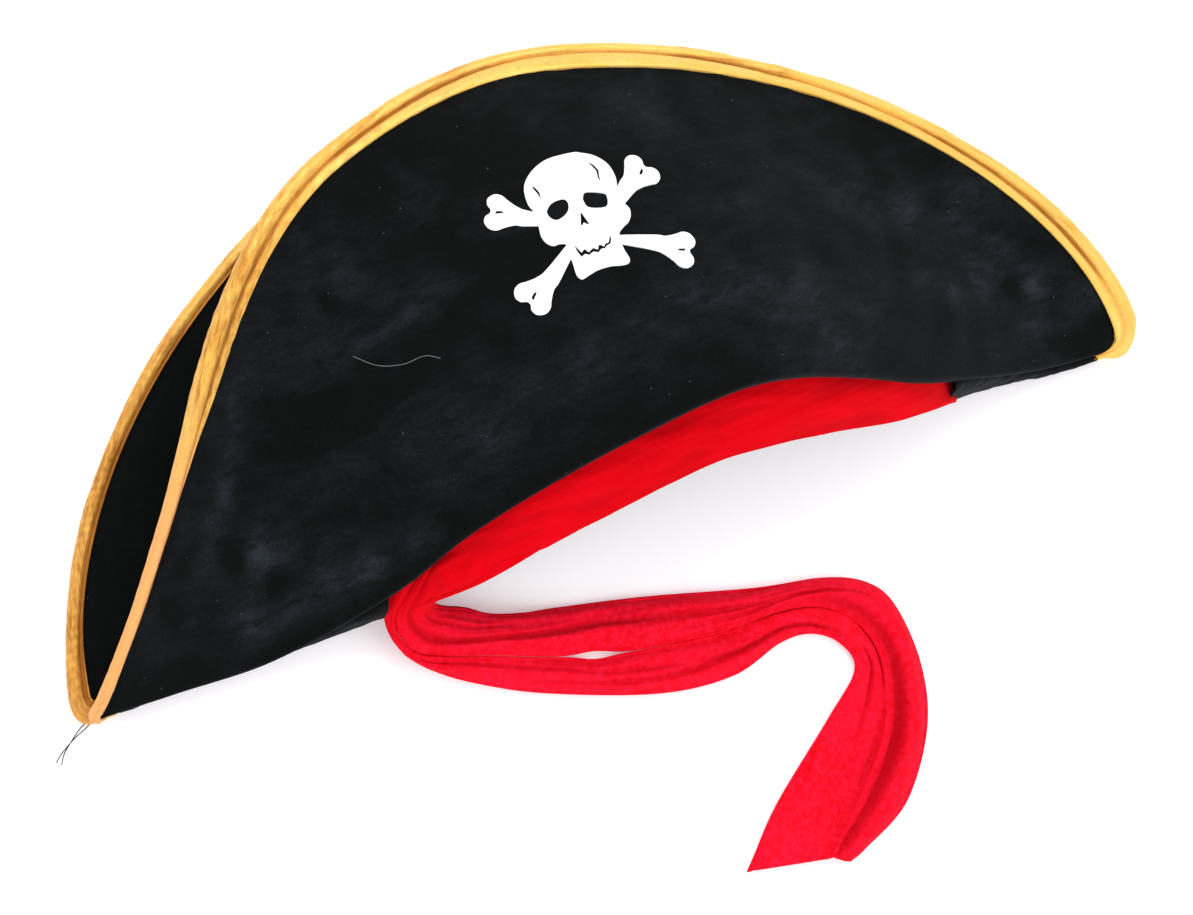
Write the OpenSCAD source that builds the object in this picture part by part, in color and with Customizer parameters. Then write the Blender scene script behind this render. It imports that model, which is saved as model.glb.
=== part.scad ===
// Costume pirate hat lying on its back brim, with a sash whose two tails lie beside it.
// X runs from brim tip to brim tip, Y from the head opening to the top of the brim, and Z up
// from the table. The origin is the centre of the head opening, where a head goes in along +Y.

/* [Brim] */
// Distance from the middle of the brim to a tip, over the binding
brim_half_w = 237; // [232:1:242]
// Height of the half-moon outline above the line through the tips, over the binding
brim_h = 192; // [186:1:196]
// Power of the outline's curve: 1 is a triangle and 2 is an ellipse
outline_power = 1.63; // [1.55:0.01:1.75]
// Height of the front flap's middle surface over the table at the tips
tip_z = 8.6; // [8.6:0.1:10]
// How much higher the front flap's upper edge is than its tips
edge_rise = 31; // [28:1:36]
// How much further the left wing of the front flap stands up
wing_rise = 24; // [18:1:28]
// How far the edge of the standing left wing is drawn in
wing_tuck = 26; // [20:1:28]
// How much the front flap bulges over the crown
bulge = 14; // [13:1:18]

/* [Brim layers] */
// Thickness of the velour, and of the lining
cloth_t = 1; // [0.8:0.1:1]
// Thickness of the foam between them
foam_t = 2.4; // [2.2:0.1:2.4]
// Air between two layers that lie on each other
layer_gap = 0.1; // [0.05:0.05:0.1]

/* [Binding] */
// How far the padded edge stands out past the cloth
nose_w = 5.5; // [5.2:0.1:6]
// Width of the flat part on each face
flat_w = 6; // [5:0.5:8]
// Thickness of the binding's cloth
binding_t = 0.95; // [0.8:0.05:0.95]
// Radius of the piping cord in the padded edge
piping_r = 1.05; // [0.9:0.05:1.1]

/* [Crown and head opening] */
// How far the opening lies to the right of the brim's middle
opening_shift = 18; // [14:1:20]
// Half of the opening's width as it lies
opening_half_w = 123; // [116:1:124]
// Height of the side seams over the table
seam_z = 18; // [16:1:18]
// Depth of the crown from its mouth to its tip
crown_depth = 132; // [110:1:134]
// Height of the crown's top over its side seams
crown_rise = 59; // [54:1:60]
// Height of the opening's centre over the table
opening_z = 34; // [30:1:38]
// Thickness of the crown's velour
crown_t = 1.2; // [1:0.1:1.4]
// Thickness of the crown's lining
lining_t = 0.8; // [0.5:0.1:0.9]
// Thickness of the sweatband
sweatband_t = 1.4; // [1:0.1:1.5]

/* [Sash] */
// Thickness of the folded band
band_t = 1.8; // [1.4:0.1:2]
// Thickness of a tail along its middle, where it is folded
tail_t = 8; // [6:0.5:10]
// Thickness of a tail along its edges
tail_edge_t = 2.6; // [2:0.1:4]

/* [Print] */
// Width of the skull
skull_w = 36; // [32:1:38]
// Length of a crossbone between the middles of its two ends
bone_l = 68; // [60:1:72]
// How far the print is turned from upright
print_turn = -5; // [-12:1:0]
// Thickness of the printed film
film_t = 0.3; // [0.2:0.05:0.4]

/* [Hidden] */

flap_half_t = foam_t / 2 + layer_gap + cloth_t;
back_mid_z = flap_half_t;
cloth_w = brim_half_w - nose_w;
cloth_h = brim_h - nose_w;
side_gap = 0.6;
arch_half_w = 190;
arch_rise = 79;
crown_floor_z = 2 * flap_half_t + 0.5;
band_gap = 0.3;
film_gap = 0.05;

// Lower edge of the front flap, as y over x, from the left tip over the opening to the right tip
flap_foot = [[-237, 1], [-200, -0.5], [-160, -1.5], [-112, 5.5], [-83, 15], [-54, 21], [-17, 26],
             [26, 29.5], [54, 27], [84, 20], [114, 12], [150, 7.5], [190, 3.5], [237, 1]];
// Lower edge of the back flap, as y over x
back_foot = [[-237, 5], [-115, 5], [-61, 5.5], [-42, 8.5], [-13, 14], [6, 16], [30, 17.5], [50, 17],
             [79, 14], [101, 11], [125, 9.5], [162, 9.5], [185, 7], [205, 5.2], [237, 5]];
// Front rim of the opening, as y over the distance from the opening's middle
front_rim = [[-126, 1], [-100, 0.5], [-70, 5], [-34, 9], [2, 12], [26, 10.5], [50, 8], [86, 4.5],
             [126, 5.5]];

// Outlines of the two tails, each from the head opening's left end to the tails' ends
tail_top_line = [[-103, -5], [-73, -13], [-45, -19], [-9, -27], [36, -39], [66, -45],
                 [89, -62], [91, -92], [80, -120], [60, -144], [42, -152]];
tail_middle_line = [[-108, -13], [-77, -27], [-50, -38], [-20, -46], [16, -51], [46, -51],
                    [70, -62], [78, -84], [70, -107], [50, -128], [31, -146]];
tail_low_line = [[-106, -21], [-89, -36], [-62, -49], [-18, -65], [14, -69], [40, -63],
                 [60, -70], [63, -88], [38, -104], [2, -130], [-11, -143]];
swing_axis = [-100, -13];
// Middle line of the turn where the band doubles back over the tails
turn_line = [[-109, 5, 19], [-110, -1.5, 18], [-109, -7, 15.5], [-105, -12, 12.6], [-98, -14, 12]];

// ---- Curves ----

function bump(x, middle, half_w) = exp(-pow((x - middle) / half_w, 2));
function clamp01(t) = min(1, max(0, t));
function signed_pow(b, p) = sign(b) * pow(abs(b), p);

// Slope of a table of [x, y] points at point i
function slope(pts, i) =
    let (a = max(0, i - 1), b = min(len(pts) - 1, i + 1))
    (pts[b][1] - pts[a][1]) / (pts[b][0] - pts[a][0]);

// Index of the span of a table that holds x
function span(pts, x, i = 0) = (i >= len(pts) - 2 || x < pts[i + 1][0]) ? i : span(pts, x, i + 1);

// Smooth curve through a table of [x, y] points
function smooth(pts, x) =
    let (i = span(pts, x), w = pts[i + 1][0] - pts[i][0], t = clamp01((x - pts[i][0]) / w))
    (1 + 2 * t) * pow(1 - t, 2) * pts[i][1] + t * pow(1 - t, 2) * w * slope(pts, i)
    + t * t * (3 - 2 * t) * pts[i + 1][1] - t * t * (1 - t) * w * slope(pts, i + 1);

// Smooth curve through a list of points, where u runs from 0 to the last point's index
function along(pts, u) =
    let (i = min(len(pts) - 2, floor(u)), t = u - i,
         p1 = pts[i], p2 = pts[i + 1],
         p0 = i > 0 ? pts[i - 1] : 2 * p1 - p2,
         p3 = i < len(pts) - 2 ? pts[i + 2] : 2 * p2 - p1)
    0.5 * (2 * p1 + (p2 - p0) * t + (2 * p0 - 5 * p1 + 4 * p2 - p3) * t * t
           + (3 * p1 - p0 - 3 * p2 + p3) * t * t * t);

// ---- Grids of points ----

function unit(v) = v / norm(v);

// Normal of a grid at row i and column j, from its neighbours
function grid_normal(g, i, j) =
    let (a = g[max(0, i - 1)][j], b = g[min(len(g) - 1, i + 1)][j],
         c = g[i][max(0, j - 1)], d = g[i][min(len(g[0]) - 1, j + 1)])
    unit(cross(b - a, d - c));

// The same grid moved along its normals
function lifted(g, d) =
    [for (i = [0:len(g) - 1]) [for (j = [0:len(g[0]) - 1]) g[i][j] + d * grid_normal(g, i, j)]];

// Rows and columns of a grid from the first to the last named
function part_of(g, rows, cols) =
    [for (i = [rows[0]:rows[1]]) [for (j = [cols[0]:cols[1]]) g[i][j]]];

// Moves from the table's frame to the head opening's
module from_table() {
    translate([-opening_shift, 0, -opening_z]) children();
}

// Closed solid between two grids, where rows and columns turn about the way from lower to upper
module between(lower, upper) {
    rows = len(lower);
    cols = len(lower[0]);
    top = rows * cols;
    points = concat([for (r = lower) each r], [for (r = upper) each r]);
    quads = concat(
        [for (i = [0:rows - 2]) for (j = [0:cols - 2]) let (a = i * cols + j)
            [a, a + cols, a + cols + 1, a + 1]],
        [for (i = [0:rows - 2]) for (j = [0:cols - 2]) let (a = top + i * cols + j)
            [a, a + 1, a + cols + 1, a + cols]],
        [for (j = [0:cols - 2]) [j, j + 1, top + j + 1, top + j]],
        [for (j = [0:cols - 2]) let (a = (rows - 1) * cols + j) [a + 1, a, top + a, top + a + 1]],
        [for (i = [0:rows - 2]) let (a = i * cols) [a + cols, a, top + a, top + a + cols]],
        [for (i = [0:rows - 2]) let (a = (i + 1) * cols - 1) [a, a + cols, top + a + cols, top + a]]
    );
    polyhedron(points, [for (q = quads) each [[q[0], q[1], q[2]], [q[0], q[2], q[3]]]]);
}

// Solid tube through rings of points
module tube(rings) {
    n = len(rings[0]);
    last = len(rings) - 1;
    sides = [for (i = [0:last - 1]) for (j = [0:n - 1]) let (a = i * n, k = (j + 1) % n)
        each [[a + j, a + n + k, a + n + j], [a + j, a + k, a + n + k]]];
    ends = [for (j = [1:n - 2]) each [[0, j + 1, j], [last * n, last * n + j, last * n + j + 1]]];
    polyhedron([for (r = rings) each r], concat(sides, ends));
}

// ---- Brim surface ----

function outline_x(a, w) = signed_pow(sin(a), 2 / outline_power) * w;
function outline_y(a, h) = signed_pow(cos(a), 2 / outline_power) * h;

// Point of the flat half-moon at angle a, a distance d inside the cloth's edge
function flat_edge(a, d) =
    let (p = [outline_x(a, cloth_w), outline_y(a, cloth_h)],
         ahead = [outline_x(a + 0.1, cloth_w), outline_y(a + 0.1, cloth_h)],
         behind = [outline_x(a - 0.1, cloth_w), outline_y(a - 0.1, cloth_h)],
         t = unit(ahead - behind))
    p + d * [t[1], -t[0]];

// Angle of the outline point over x
function angle_at(x) = sign(x) * asin(pow(min(1, abs(x) / cloth_w), outline_power / 2));

function tuck_at(a) =
    let (t = clamp01((-a - 25) / 65))
    wing_tuck * sin(180 * pow(t, 1.36));

function edge_z(a) =
    tip_z + edge_rise * (1 - pow(abs(a) / 90, 4))
    + wing_rise * sin(180 * pow(clamp01(-a / 90), 1.2));

function foot_y(x) = smooth(flap_foot, x);

function foot_z(x) =
    tip_z + arch_rise * pow(1 - pow(clamp01(abs(x - opening_shift) / arch_half_w), 2), 1.9);

// Point of the front flap's middle surface, from a point of the flat half-moon
function flap_point(p) =
    let (a = angle_at(p[0]), low = foot_y(p[0]), high = outline_y(a, cloth_h),
         v = clamp01((p[1] - low) / max(1, high - low)),
         swell = bulge * bump(a, 8, 34) - 4 * bump(a, -48, 18))
    [p[0] + v * tuck_at(a), p[1],
     foot_z(p[0]) + v * (edge_z(a) - foot_z(p[0])) + swell * 4 * v * (1 - v) * (1.35 - 0.7 * v)];

// Grid over the whole front flap: a row for each rib from the left tip to the right one, and
// columns from the foot to the velour's edge, with a last one at the cloth's edge
ribs = 40;
cells = 8;
rib_reach = 87;
flap_grid =
    [for (i = [0:ribs]) let (
         a = -rib_reach + 2 * rib_reach * i / ribs,
         e = flat_edge(a, flat_w + side_gap), low = foot_y(e[0]))
        [for (j = [0:cells + 1])
            flap_point(j > cells ? flat_edge(a, 0) : [e[0], low + (e[1] - low) * j / cells])]];

// Layer of the front flap between two distances from its middle surface
module front_layer(last_col, low, high) {
    between(part_of(lifted(flap_grid, low), [0, ribs], [0, last_col]),
            part_of(lifted(flap_grid, high), [0, ribs], [0, last_col]));
}

// Half-moon plate of the back flap, inset from the cloth's edge, between two heights
module back_layer(inset, reach, low, high) {
    arc = [for (i = [0:60]) flat_edge(-reach + 2 * reach * i / 60, inset)];
    first = arc[0][0];
    foot = [for (i = [60:-1:0]) let (x = first + (arc[60][0] - first) * i / 60) [x, smooth(back_foot, x)]];
    translate([0, 0, low]) linear_extrude(high - low) polygon(concat(arc, foot));
}

// ---- Binding ----

// Outside and inside of the binding's section: [outward from the cloth's edge, up from mid-thickness]
nose_outer = [[-flat_w, flap_half_t], [0, flap_half_t], [0.58 * nose_w, 0.93 * flap_half_t],
              [0.91 * nose_w, 0.52 * flap_half_t], [nose_w, 0]];
nose_inner = [[-flat_w, flap_half_t - binding_t], [0, flap_half_t - binding_t],
              [0.47 * nose_w, 0.56 * flap_half_t], [0.73 * nose_w, 0.3 * flap_half_t],
              [nose_w - 1.1 * binding_t, 0]];
function whole_section(half) = concat(half, [for (i = [len(half) - 2:-1:0]) [half[i][0], -half[i][1]]]);

// Edge point with its outward and upward directions, and the same for the flat part's inner end
function front_frame(i) =
    let (e = flap_grid[i][cells + 1], inner = flap_grid[i][cells],
         t = unit(flap_grid[min(ribs, i + 1)][cells + 1] - flap_grid[max(0, i - 1)][cells + 1]),
         up = grid_normal(flap_grid, i, cells + 1))
    [e, unit(cross(up, t)), up,
     inner + (e - inner) * side_gap / (flat_w + side_gap), grid_normal(flap_grid, i, cells)];

function back_frame(a) =
    let (e = flat_edge(a, 0), t = unit(flat_edge(a + 0.1, 0) - flat_edge(a - 0.1, 0)),
         out = [-t[1], t[0], 0], middle = [e[0], e[1], back_mid_z])
    [middle, out, [0, 0, 1], middle - flat_w * out, [0, 0, 1]];

function section_row(f, section) =
    [for (s = section) s[0] < 0 ? f[3] + s[1] * f[4] : f[0] + s[0] * f[1] + s[1] * f[2]];

module binding_cover(frames) {
    between([for (f = frames) section_row(f, whole_section(nose_inner))],
            [for (f = frames) section_row(f, whole_section(nose_outer))]);
}

module piping(frames) {
    middle = 0.45 * nose_w;
    ring = [for (k = [0:7]) [middle + piping_r * cos(45 * k), -piping_r * sin(45 * k)]];
    tube([for (f = frames) section_row(f, ring)]);
}

front_frames = [for (i = [0:ribs]) front_frame(i)];
back_frames = [for (i = [0:44]) back_frame(-89 + 178 * i / 44)];

// ---- Crown ----

function crown_half_w(y) =
    opening_half_w * pow(1 - pow(clamp01(y / (crown_depth + 6)), 2.6), 0.55);

function crown_h(y) =
    let (front = 1 - 0.3 * pow(clamp01((45 - y) / 42), 2.2),
         back = 1 - 0.62 * pow(clamp01((y - 45) / (crown_depth - 45)), 2.2))
    crown_rise * front * back;

// Rim of the opening at angle w, as y over the distance from the opening's middle: its lower half
// lies 2 mm in front of the back flap's edge
function rim_y(x, w) =
    w > 0 ? smooth(front_rim, x)
    : smooth(front_rim, x) * (1 + sin(w)) - (smooth(back_foot, x + opening_shift) - 2) * sin(w);

// Point of the crown's outside at depth k from 0 to 1 and angle w: 0 right seam, 90 top, 180 left
function crown_point(k, w) =
    let (y_rim = rim_y(opening_half_w * cos(w), w),
         y = y_rim + (crown_depth - y_rim) * k,
         s = sin(w))
    [opening_shift + crown_half_w(y) * cos(w), y,
     s >= 0 ? seam_z + crown_h(y) * pow(s, 1.24) : seam_z - (seam_z - crown_floor_z) * pow(-s, 0.5)];

// Grid round the whole crown: rows from the left seam over the top to the right seam and back
// under to the left, and columns from just in front of the rim to the tip
top_rows = 28;
floor_rows = 22;
crown_angles = concat([for (i = [0:top_rows]) 180 - 180 * i / top_rows],
                      [for (i = [0:floor_rows]) -2 - 176 * i / floor_rows]);
crown_depths = [-0.02, 0.005, 0.06, 0.12, 0.175, 0.23, 0.34, 0.46, 0.58, 0.7, 0.81, 0.91, 1];
rim_col = 1;
band_col = 5;
tip_col = len(crown_depths) - 1;
crown_net = [for (w = crown_angles) [for (k = crown_depths) crown_point(k, w)]];

// Layer of the crown between two distances outside its skin
module crown_layer(rows, cols, low, high) {
    between(part_of(lifted(crown_net, low), rows, cols), part_of(lifted(crown_net, high), rows, cols));
}

// ---- Sub-parts ----

module back_brim_velour() {
    color("#151718") from_table() back_layer(flat_w + side_gap, 84, 0, cloth_t);
}

module back_brim_foam() {
    color("#3a3c3e") from_table()
        back_layer(side_gap, 86, back_mid_z - foam_t / 2, back_mid_z + foam_t / 2);
}

module back_brim_lining() {
    color("#101112") from_table()
        back_layer(flat_w + side_gap, 84, back_mid_z + foam_t / 2 + layer_gap, 2 * back_mid_z);
}

module back_binding() {
    color("#e3a83c") from_table() binding_cover(back_frames);
}

module back_piping_cord() {
    color("#d8c9a0") from_table() piping(back_frames);
}

module front_brim_velour() {
    color("#17191a") from_table()
        front_layer(cells, flap_half_t - cloth_t, flap_half_t);
}

// Face of the front foam, which the binding pinches towards the cloth's edge
function pinch(j) = j > cells ? 0.3 : j == cells ? 0.6 : 1;
function foam_face(half_t) =
    [for (i = [0:ribs]) [for (j = [0:cells + 1])
        flap_grid[i][j] + pinch(j) * half_t * grid_normal(flap_grid, i, j)]];

module front_brim_foam() {
    color("#3a3c3e") from_table() between(foam_face(-foam_t / 2), foam_face(foam_t / 2));
}

module front_brim_lining() {
    color("#101112") from_table()
        front_layer(cells, -flap_half_t, cloth_t - flap_half_t);
}

module front_binding() {
    color("#eab548") from_table() binding_cover(front_frames);
}

module front_piping_cord() {
    color("#d8c9a0") from_table() piping(front_frames);
}

// Curved strip that closes the fold of the brim between x_from and x_to
module side_seam(x_from, x_to) {
    function ring(x, r_in) =
        let (top = foot_z(x) - flap_half_t - 1.6, low = 0.2, mid = (top + low) / 2)
        [for (b = [-90:30:90])
            [x, smooth(back_foot, x) - 0.4 - (4.2 - r_in) * cos(b), mid + (mid - low - r_in) * sin(b)]];
    stations = [for (i = [0:14]) x_from + (x_to - x_from) * i / 14];
    between([for (x = stations) ring(x, 1)], [for (x = stations) ring(x, 0)]);
}

module left_side_seam() {
    color("#1b1d1e") from_table() side_seam(-222, -115.5);
}

module right_side_seam() {
    color("#1b1d1e") from_table() side_seam(146, 222);
}

// Three thread bars that close a tip between the two bindings
module tip_stitches(side) {
    for (i = [0:2])
        translate([side * (cloth_w - 2 - 3 * i), 2.5, 2 * back_mid_z + 0.1]) cylinder(h = 1.5, r = 0.6);
}

module left_tip_stitches() {
    color("#c48a2e") from_table() tip_stitches(-1);
}

module right_tip_stitches() {
    color("#c48a2e") from_table() tip_stitches(1);
}

// ---- Crown sub-parts ----

all_rows = [0, len(crown_angles) - 1];

module crown_front_panel() {
    color("#131516") from_table() crown_layer([0, top_rows], [rim_col, tip_col], -crown_t, 0);
}

module crown_back_panel() {
    color("#121314") from_table()
        crown_layer([top_rows + 1, all_rows[1]], [rim_col, tip_col], -crown_t, 0);
}

module crown_tip() {
    ring = [for (w = [0:12:348]) crown_point(1, w)];
    color("#131516") from_table()
        translate([0, crown_depth + crown_t + side_gap, 0]) rotate([90, 0, 0])
            linear_extrude(crown_t) polygon([for (p = ring) [p[0], p[2]]]);
}

module crown_lining() {
    color("#0c0d0e") from_table()
        crown_layer(all_rows, [rim_col, tip_col], -crown_t - layer_gap - lining_t, -crown_t - layer_gap);
}

module sweatband() {
    inside = crown_t + 2 * layer_gap + lining_t;
    color("#222426") from_table()
        crown_layer(all_rows, [rim_col, band_col], -inside - sweatband_t, -inside);
}

// ---- Sash sub-parts ----

module sash_band() {
    color("#e0111c") from_table()
        crown_layer([1, top_rows - 1], [0, band_col], band_gap, band_gap + band_t);
}

// The doubled cloth that turns back from the band's left end, down over the tails
module sash_turn() {
    last = len(turn_line) - 1;
    rings = [for (i = [0:2 * last]) let (
                 u = i / 2, c = along(turn_line, u),
                 t = unit(along(turn_line, min(last, u + 0.1)) - along(turn_line, max(0, u - 0.1))),
                 across = unit(cross(t, [0.3, -0.5, 1])), out = cross(across, t),
                 w = 4 + 2.5 * u / last)
             [for (k = [0:9]) c + w * cos(36 * k) * across + 1.6 * sin(36 * k) * out]];
    color("#d60f1a") from_table() tube(rings);
}

// Thread bars that hold the band's right end in the seam
module sash_end_stitches() {
    outside = band_gap + band_t + 0.5;
    color("#a80c16") from_table() for (row = [top_rows - 3, top_rows - 2]) {
        path = [for (j = [0:band_col]) crown_net[row][j] + outside * grid_normal(crown_net, row, j)];
        tube([for (j = [0:band_col]) let (
                  n = grid_normal(crown_net, row, j),
                  t = unit(path[min(band_col, j + 1)] - path[max(0, j - 1)]), across = cross(n, t))
              [for (k = [0:5]) path[j] + 0.4 * (cos(60 * k) * across - sin(60 * k) * n)]]);
    }
}

// Thread shank that the tails hang from and swing on
module sash_tack() {
    color("#a80c16") from_table()
        translate([swing_axis[0], swing_axis[1], tail_t + 0.3]) cylinder(h = 1.7, r = 1.2);
}

// A tail between two of the outlines, flat below and crowned above
module tail(outer, inner, gap_outer, gap_inner) {
    last = len(outer) - 1;
    function at(u, v) =
        let (a = along(outer, u), b = along(inner, u), d = unit(b - a),
             a2 = a + gap_outer * d, b2 = b - gap_inner * d)
        a2 + v * (b2 - a2);
    rows = [for (i = [0:4 * last]) i / 4];
    shares = [0, 0.12, 0.3, 0.5, 0.7, 0.88, 1];
    low = [for (u = rows) [for (v = shares) let (p = at(u, 1 - v)) [p[0], p[1], 0]]];
    high = [for (u = rows) [for (v = shares) let (p = at(u, 1 - v))
        [p[0], p[1], tail_edge_t + (tail_t - tail_edge_t) * sin(180 * v)]]];
    between(low, high);
}

module sash_outer_tail() {
    color("#e5142a") from_table() tail(tail_top_line, tail_middle_line, 0, 0.3);
}

module sash_inner_tail() {
    color("#ea1a33") from_table() tail(tail_middle_line, tail_low_line, 0.3, 0);
}

// ---- Print ----

// Closed smooth outline through points, with n sides between two of them
function closed(pts, n = 4) =
    let (m = len(pts), loop = concat([pts[m - 1]], pts, [pts[0], pts[1]]))
    [for (i = [0:m * n - 1]) along(loop, 1 + i / n)];

// Points followed by their mirror images, in the order of an outline
function both_sides(half) = concat(half, [for (i = [len(half) - 1:-1:0]) [-half[i][0], half[i][1]]]);

skull_outline = [[6.3, 27], [9.7, 25.9], [13.8, 23.6], [17.1, 19.1], [17.6, 13.2], [16.1, 8],
                 [15.9, 3.5], [16.5, 1.4], [17.2, -0.6], [16.3, -3.4], [14.5, -5.5], [11.8, -7],
                 [9.4, -9.3], [8.9, -15], [9.5, -19.3], [7.6, -20.9], [1.7, -20.1], [-3.3, -20.3],
                 [-7.4, -21.4], [-9.9, -22], [-11.2, -20.1], [-11, -15.8], [-10.9, -12],
                 [-10.5, -8.1], [-12.7, -7], [-15.4, -7], [-17.4, -5.2], [-18.2, -2.4],
                 [-17.8, 0.8], [-17.2, 3.7], [-17.1, 7.1], [-18.2, 11.2], [-17.4, 16.9],
                 [-14.9, 20.8], [-10, 24.5], [-3.2, 26.9]];
left_eye = [[-12.5, 6.7], [-9.4, 9.2], [-5, 9.6], [-3.8, 7.7], [-5, 4.7], [-7.8, 2.8], [-10.7, 2.3],
            [-12.5, 4.1]];
right_eye = [[2.8, 8.6], [4.6, 10], [10.4, 8], [11.1, 6.2], [9.9, 3.1], [7.6, 2.5], [3.6, 3.7],
             [2.1, 5.8]];
nose = [[-0.7, 3.3], [0.6, -2.6], [-0.8, -2], [-1.2, -1.2], [-2.1, -2.2], [-2.8, -2.2]];
teeth = [[-8, -8.4], [-7.2, -10.5], [-6.4, -12.3], [-5.3, -11.3], [-4.7, -11.4], [-3.9, -12.8],
         [-2.6, -12.1], [-1.7, -11.6], [-0.3, -12.8], [0.5, -11.2], [1.2, -11.1], [2.3, -12.2],
         [3.2, -11.2], [4.7, -11.1], [5.5, -9.7], [6.3, -7.8], [6, -10.1], [5.1, -11.8],
         [3.5, -12.1], [2.3, -13], [1, -12.8], [-0.5, -13.9], [-2.1, -13.1], [-4.2, -13.9],
         [-5.4, -13.1], [-7.1, -13.9], [-7.9, -11.2]];
long_crack = [[9.7, 22], [11.8, 20.4], [12.7, 17.6], [11.8, 15], [11.5, 11.7], [11.1, 14.7],
              [11.7, 17.4], [11, 19.6]];
short_crack = [[-14.2, 17.9], [-13, 16.6], [-12.3, 14.4], [-12.8, 11.5], [-13.2, 14.1], [-14, 16.5]];
bone_turns = [-57, 123, 62, -117];
bone_half = [[2.9, 0], [3, 22], [3.7, 27], [5.5, 30.8], [7.1, 33.4], [7, 36.2], [4.9, 38.3],
             [2.4, 38.2], [0.8, 36.8]];

// Half of a crossbone, from the crossing to its end along +Y
module half_bone() {
    scale([1, bone_l / 68]) difference() {
        polygon(closed(both_sides(bone_half)));
        polygon([[0.2, 32.2], [-0.6, 35], [0.5, 34.6], [0.8, 32.6]]);
    }
}

module skull_2d() {
    difference() {
        union() {
            polygon(closed(skull_outline));
            for (turn = bone_turns) translate([0, -5]) rotate(turn) half_bone();
        }
        polygon(closed(left_eye));
        polygon(closed(right_eye));
        polygon(nose);
        polygon(teeth);
        polygon(long_crack);
        polygon(short_crack);
    }
}

// The print's film, cut out of a thin layer that follows the velour
module skull_print() {
    centre = [-3, 111];
    half_x = 50;
    half_y = 40;
    patch = [for (i = [0:16]) [for (j = [0:13])
        flap_point([centre[0] - half_x + 2 * half_x * i / 16, centre[1] - half_y + 2 * half_y * j / 13])]];
    color("white") from_table() intersection() {
        between(lifted(patch, flap_half_t + film_gap), lifted(patch, flap_half_t + film_gap + film_t));
        translate(centre) linear_extrude(200)
            offset(delta = 0.02) rotate(print_turn) scale([skull_w / 36, skull_w / 34.3]) skull_2d();
    }
}

back_brim_velour();
back_brim_foam();
back_brim_lining();
back_binding();
back_piping_cord();
front_brim_velour();
front_brim_foam();
front_brim_lining();
front_binding();
front_piping_cord();
skull_print();
left_side_seam();
right_side_seam();
left_tip_stitches();
right_tip_stitches();
crown_front_panel();
crown_back_panel();
crown_tip();
crown_lining();
sweatband();
sash_band();
sash_turn();
sash_end_stitches();
sash_tack();
sash_outer_tail();
sash_inner_tail();
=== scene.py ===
"""Looks of the pirate hat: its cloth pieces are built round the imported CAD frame.

Shapes are worked out in millimetres in the table's frame, where x = 0 is halfway between the
brim's tips, y = 0 is the line through them and z = 0 is the table. place() moves them to the
row's frame in metres.
"""
from math import cos, pi, radians, sin, sqrt

import bpy
import numpy as np
from mathutils import Matrix, Vector


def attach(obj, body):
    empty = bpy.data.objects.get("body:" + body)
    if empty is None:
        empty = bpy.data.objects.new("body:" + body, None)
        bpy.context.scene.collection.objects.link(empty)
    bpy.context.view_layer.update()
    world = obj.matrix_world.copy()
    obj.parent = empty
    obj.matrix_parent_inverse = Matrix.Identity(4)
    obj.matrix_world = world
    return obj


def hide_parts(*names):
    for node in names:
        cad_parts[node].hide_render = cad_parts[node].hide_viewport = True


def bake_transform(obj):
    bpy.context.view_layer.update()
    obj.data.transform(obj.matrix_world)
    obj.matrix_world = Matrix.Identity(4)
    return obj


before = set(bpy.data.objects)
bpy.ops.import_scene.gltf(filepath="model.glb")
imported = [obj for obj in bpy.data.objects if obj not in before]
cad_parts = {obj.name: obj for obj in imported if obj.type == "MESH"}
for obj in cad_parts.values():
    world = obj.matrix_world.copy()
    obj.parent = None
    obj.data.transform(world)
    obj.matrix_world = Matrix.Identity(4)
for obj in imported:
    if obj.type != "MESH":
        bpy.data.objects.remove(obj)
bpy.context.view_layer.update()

# ---------------------------------------------------------------- sizes, as in part.scad (mm)
BRIM_HALF_W, BRIM_H, OUTLINE_POWER = 237.0, 192.0, 1.63
LEFT_POWER, LEFT_EXTRA = 1.72, 0.7  # the left half's own curve and extra half width
TIP_Z, EDGE_RISE, WING_RISE, WING_TUCK, BULGE = 8.6, 31.0, 24.0, 26.0, 14.0
NOSE_W, FLAT_W, HALF_T = 5.5, 6.0, 2.3
CLOTH_W, CLOTH_H = BRIM_HALF_W - NOSE_W, BRIM_H - NOSE_W
OPEN_X, OPEN_HALF_W, OPEN_Z, SEAM_Z = 18.0, 123.0, 34.0, 18.0
ARCH_HALF_W, ARCH_RISE = 190.0, 79.0
CROWN_DEPTH, CROWN_RISE, CROWN_FLOOR_Z = 132.0, 59.0, 2 * HALF_T + 0.5
FLAP_FOOT = [[-237, 1], [-200, -0.5], [-160, -1.5], [-112, 5.5], [-83, 15], [-54, 21], [-17, 26],
             [26, 29.5], [54, 27], [84, 20], [114, 12], [150, 7.5], [190, 3.5], [237, 1]]
BACK_FOOT = [[-237, 5], [-115, 5], [-61, 5.5], [-42, 8.5], [-13, 14], [6, 16], [30, 17.5], [50, 17],
             [79, 14], [101, 11], [125, 9.5], [162, 9.5], [185, 7], [205, 5.2], [237, 5]]
FRONT_RIM = [[-126, 1], [-100, 0.5], [-70, 5], [-34, 9], [2, 12], [26, 10.5], [50, 8], [86, 4.5],
             [126, 5.5]]
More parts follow.
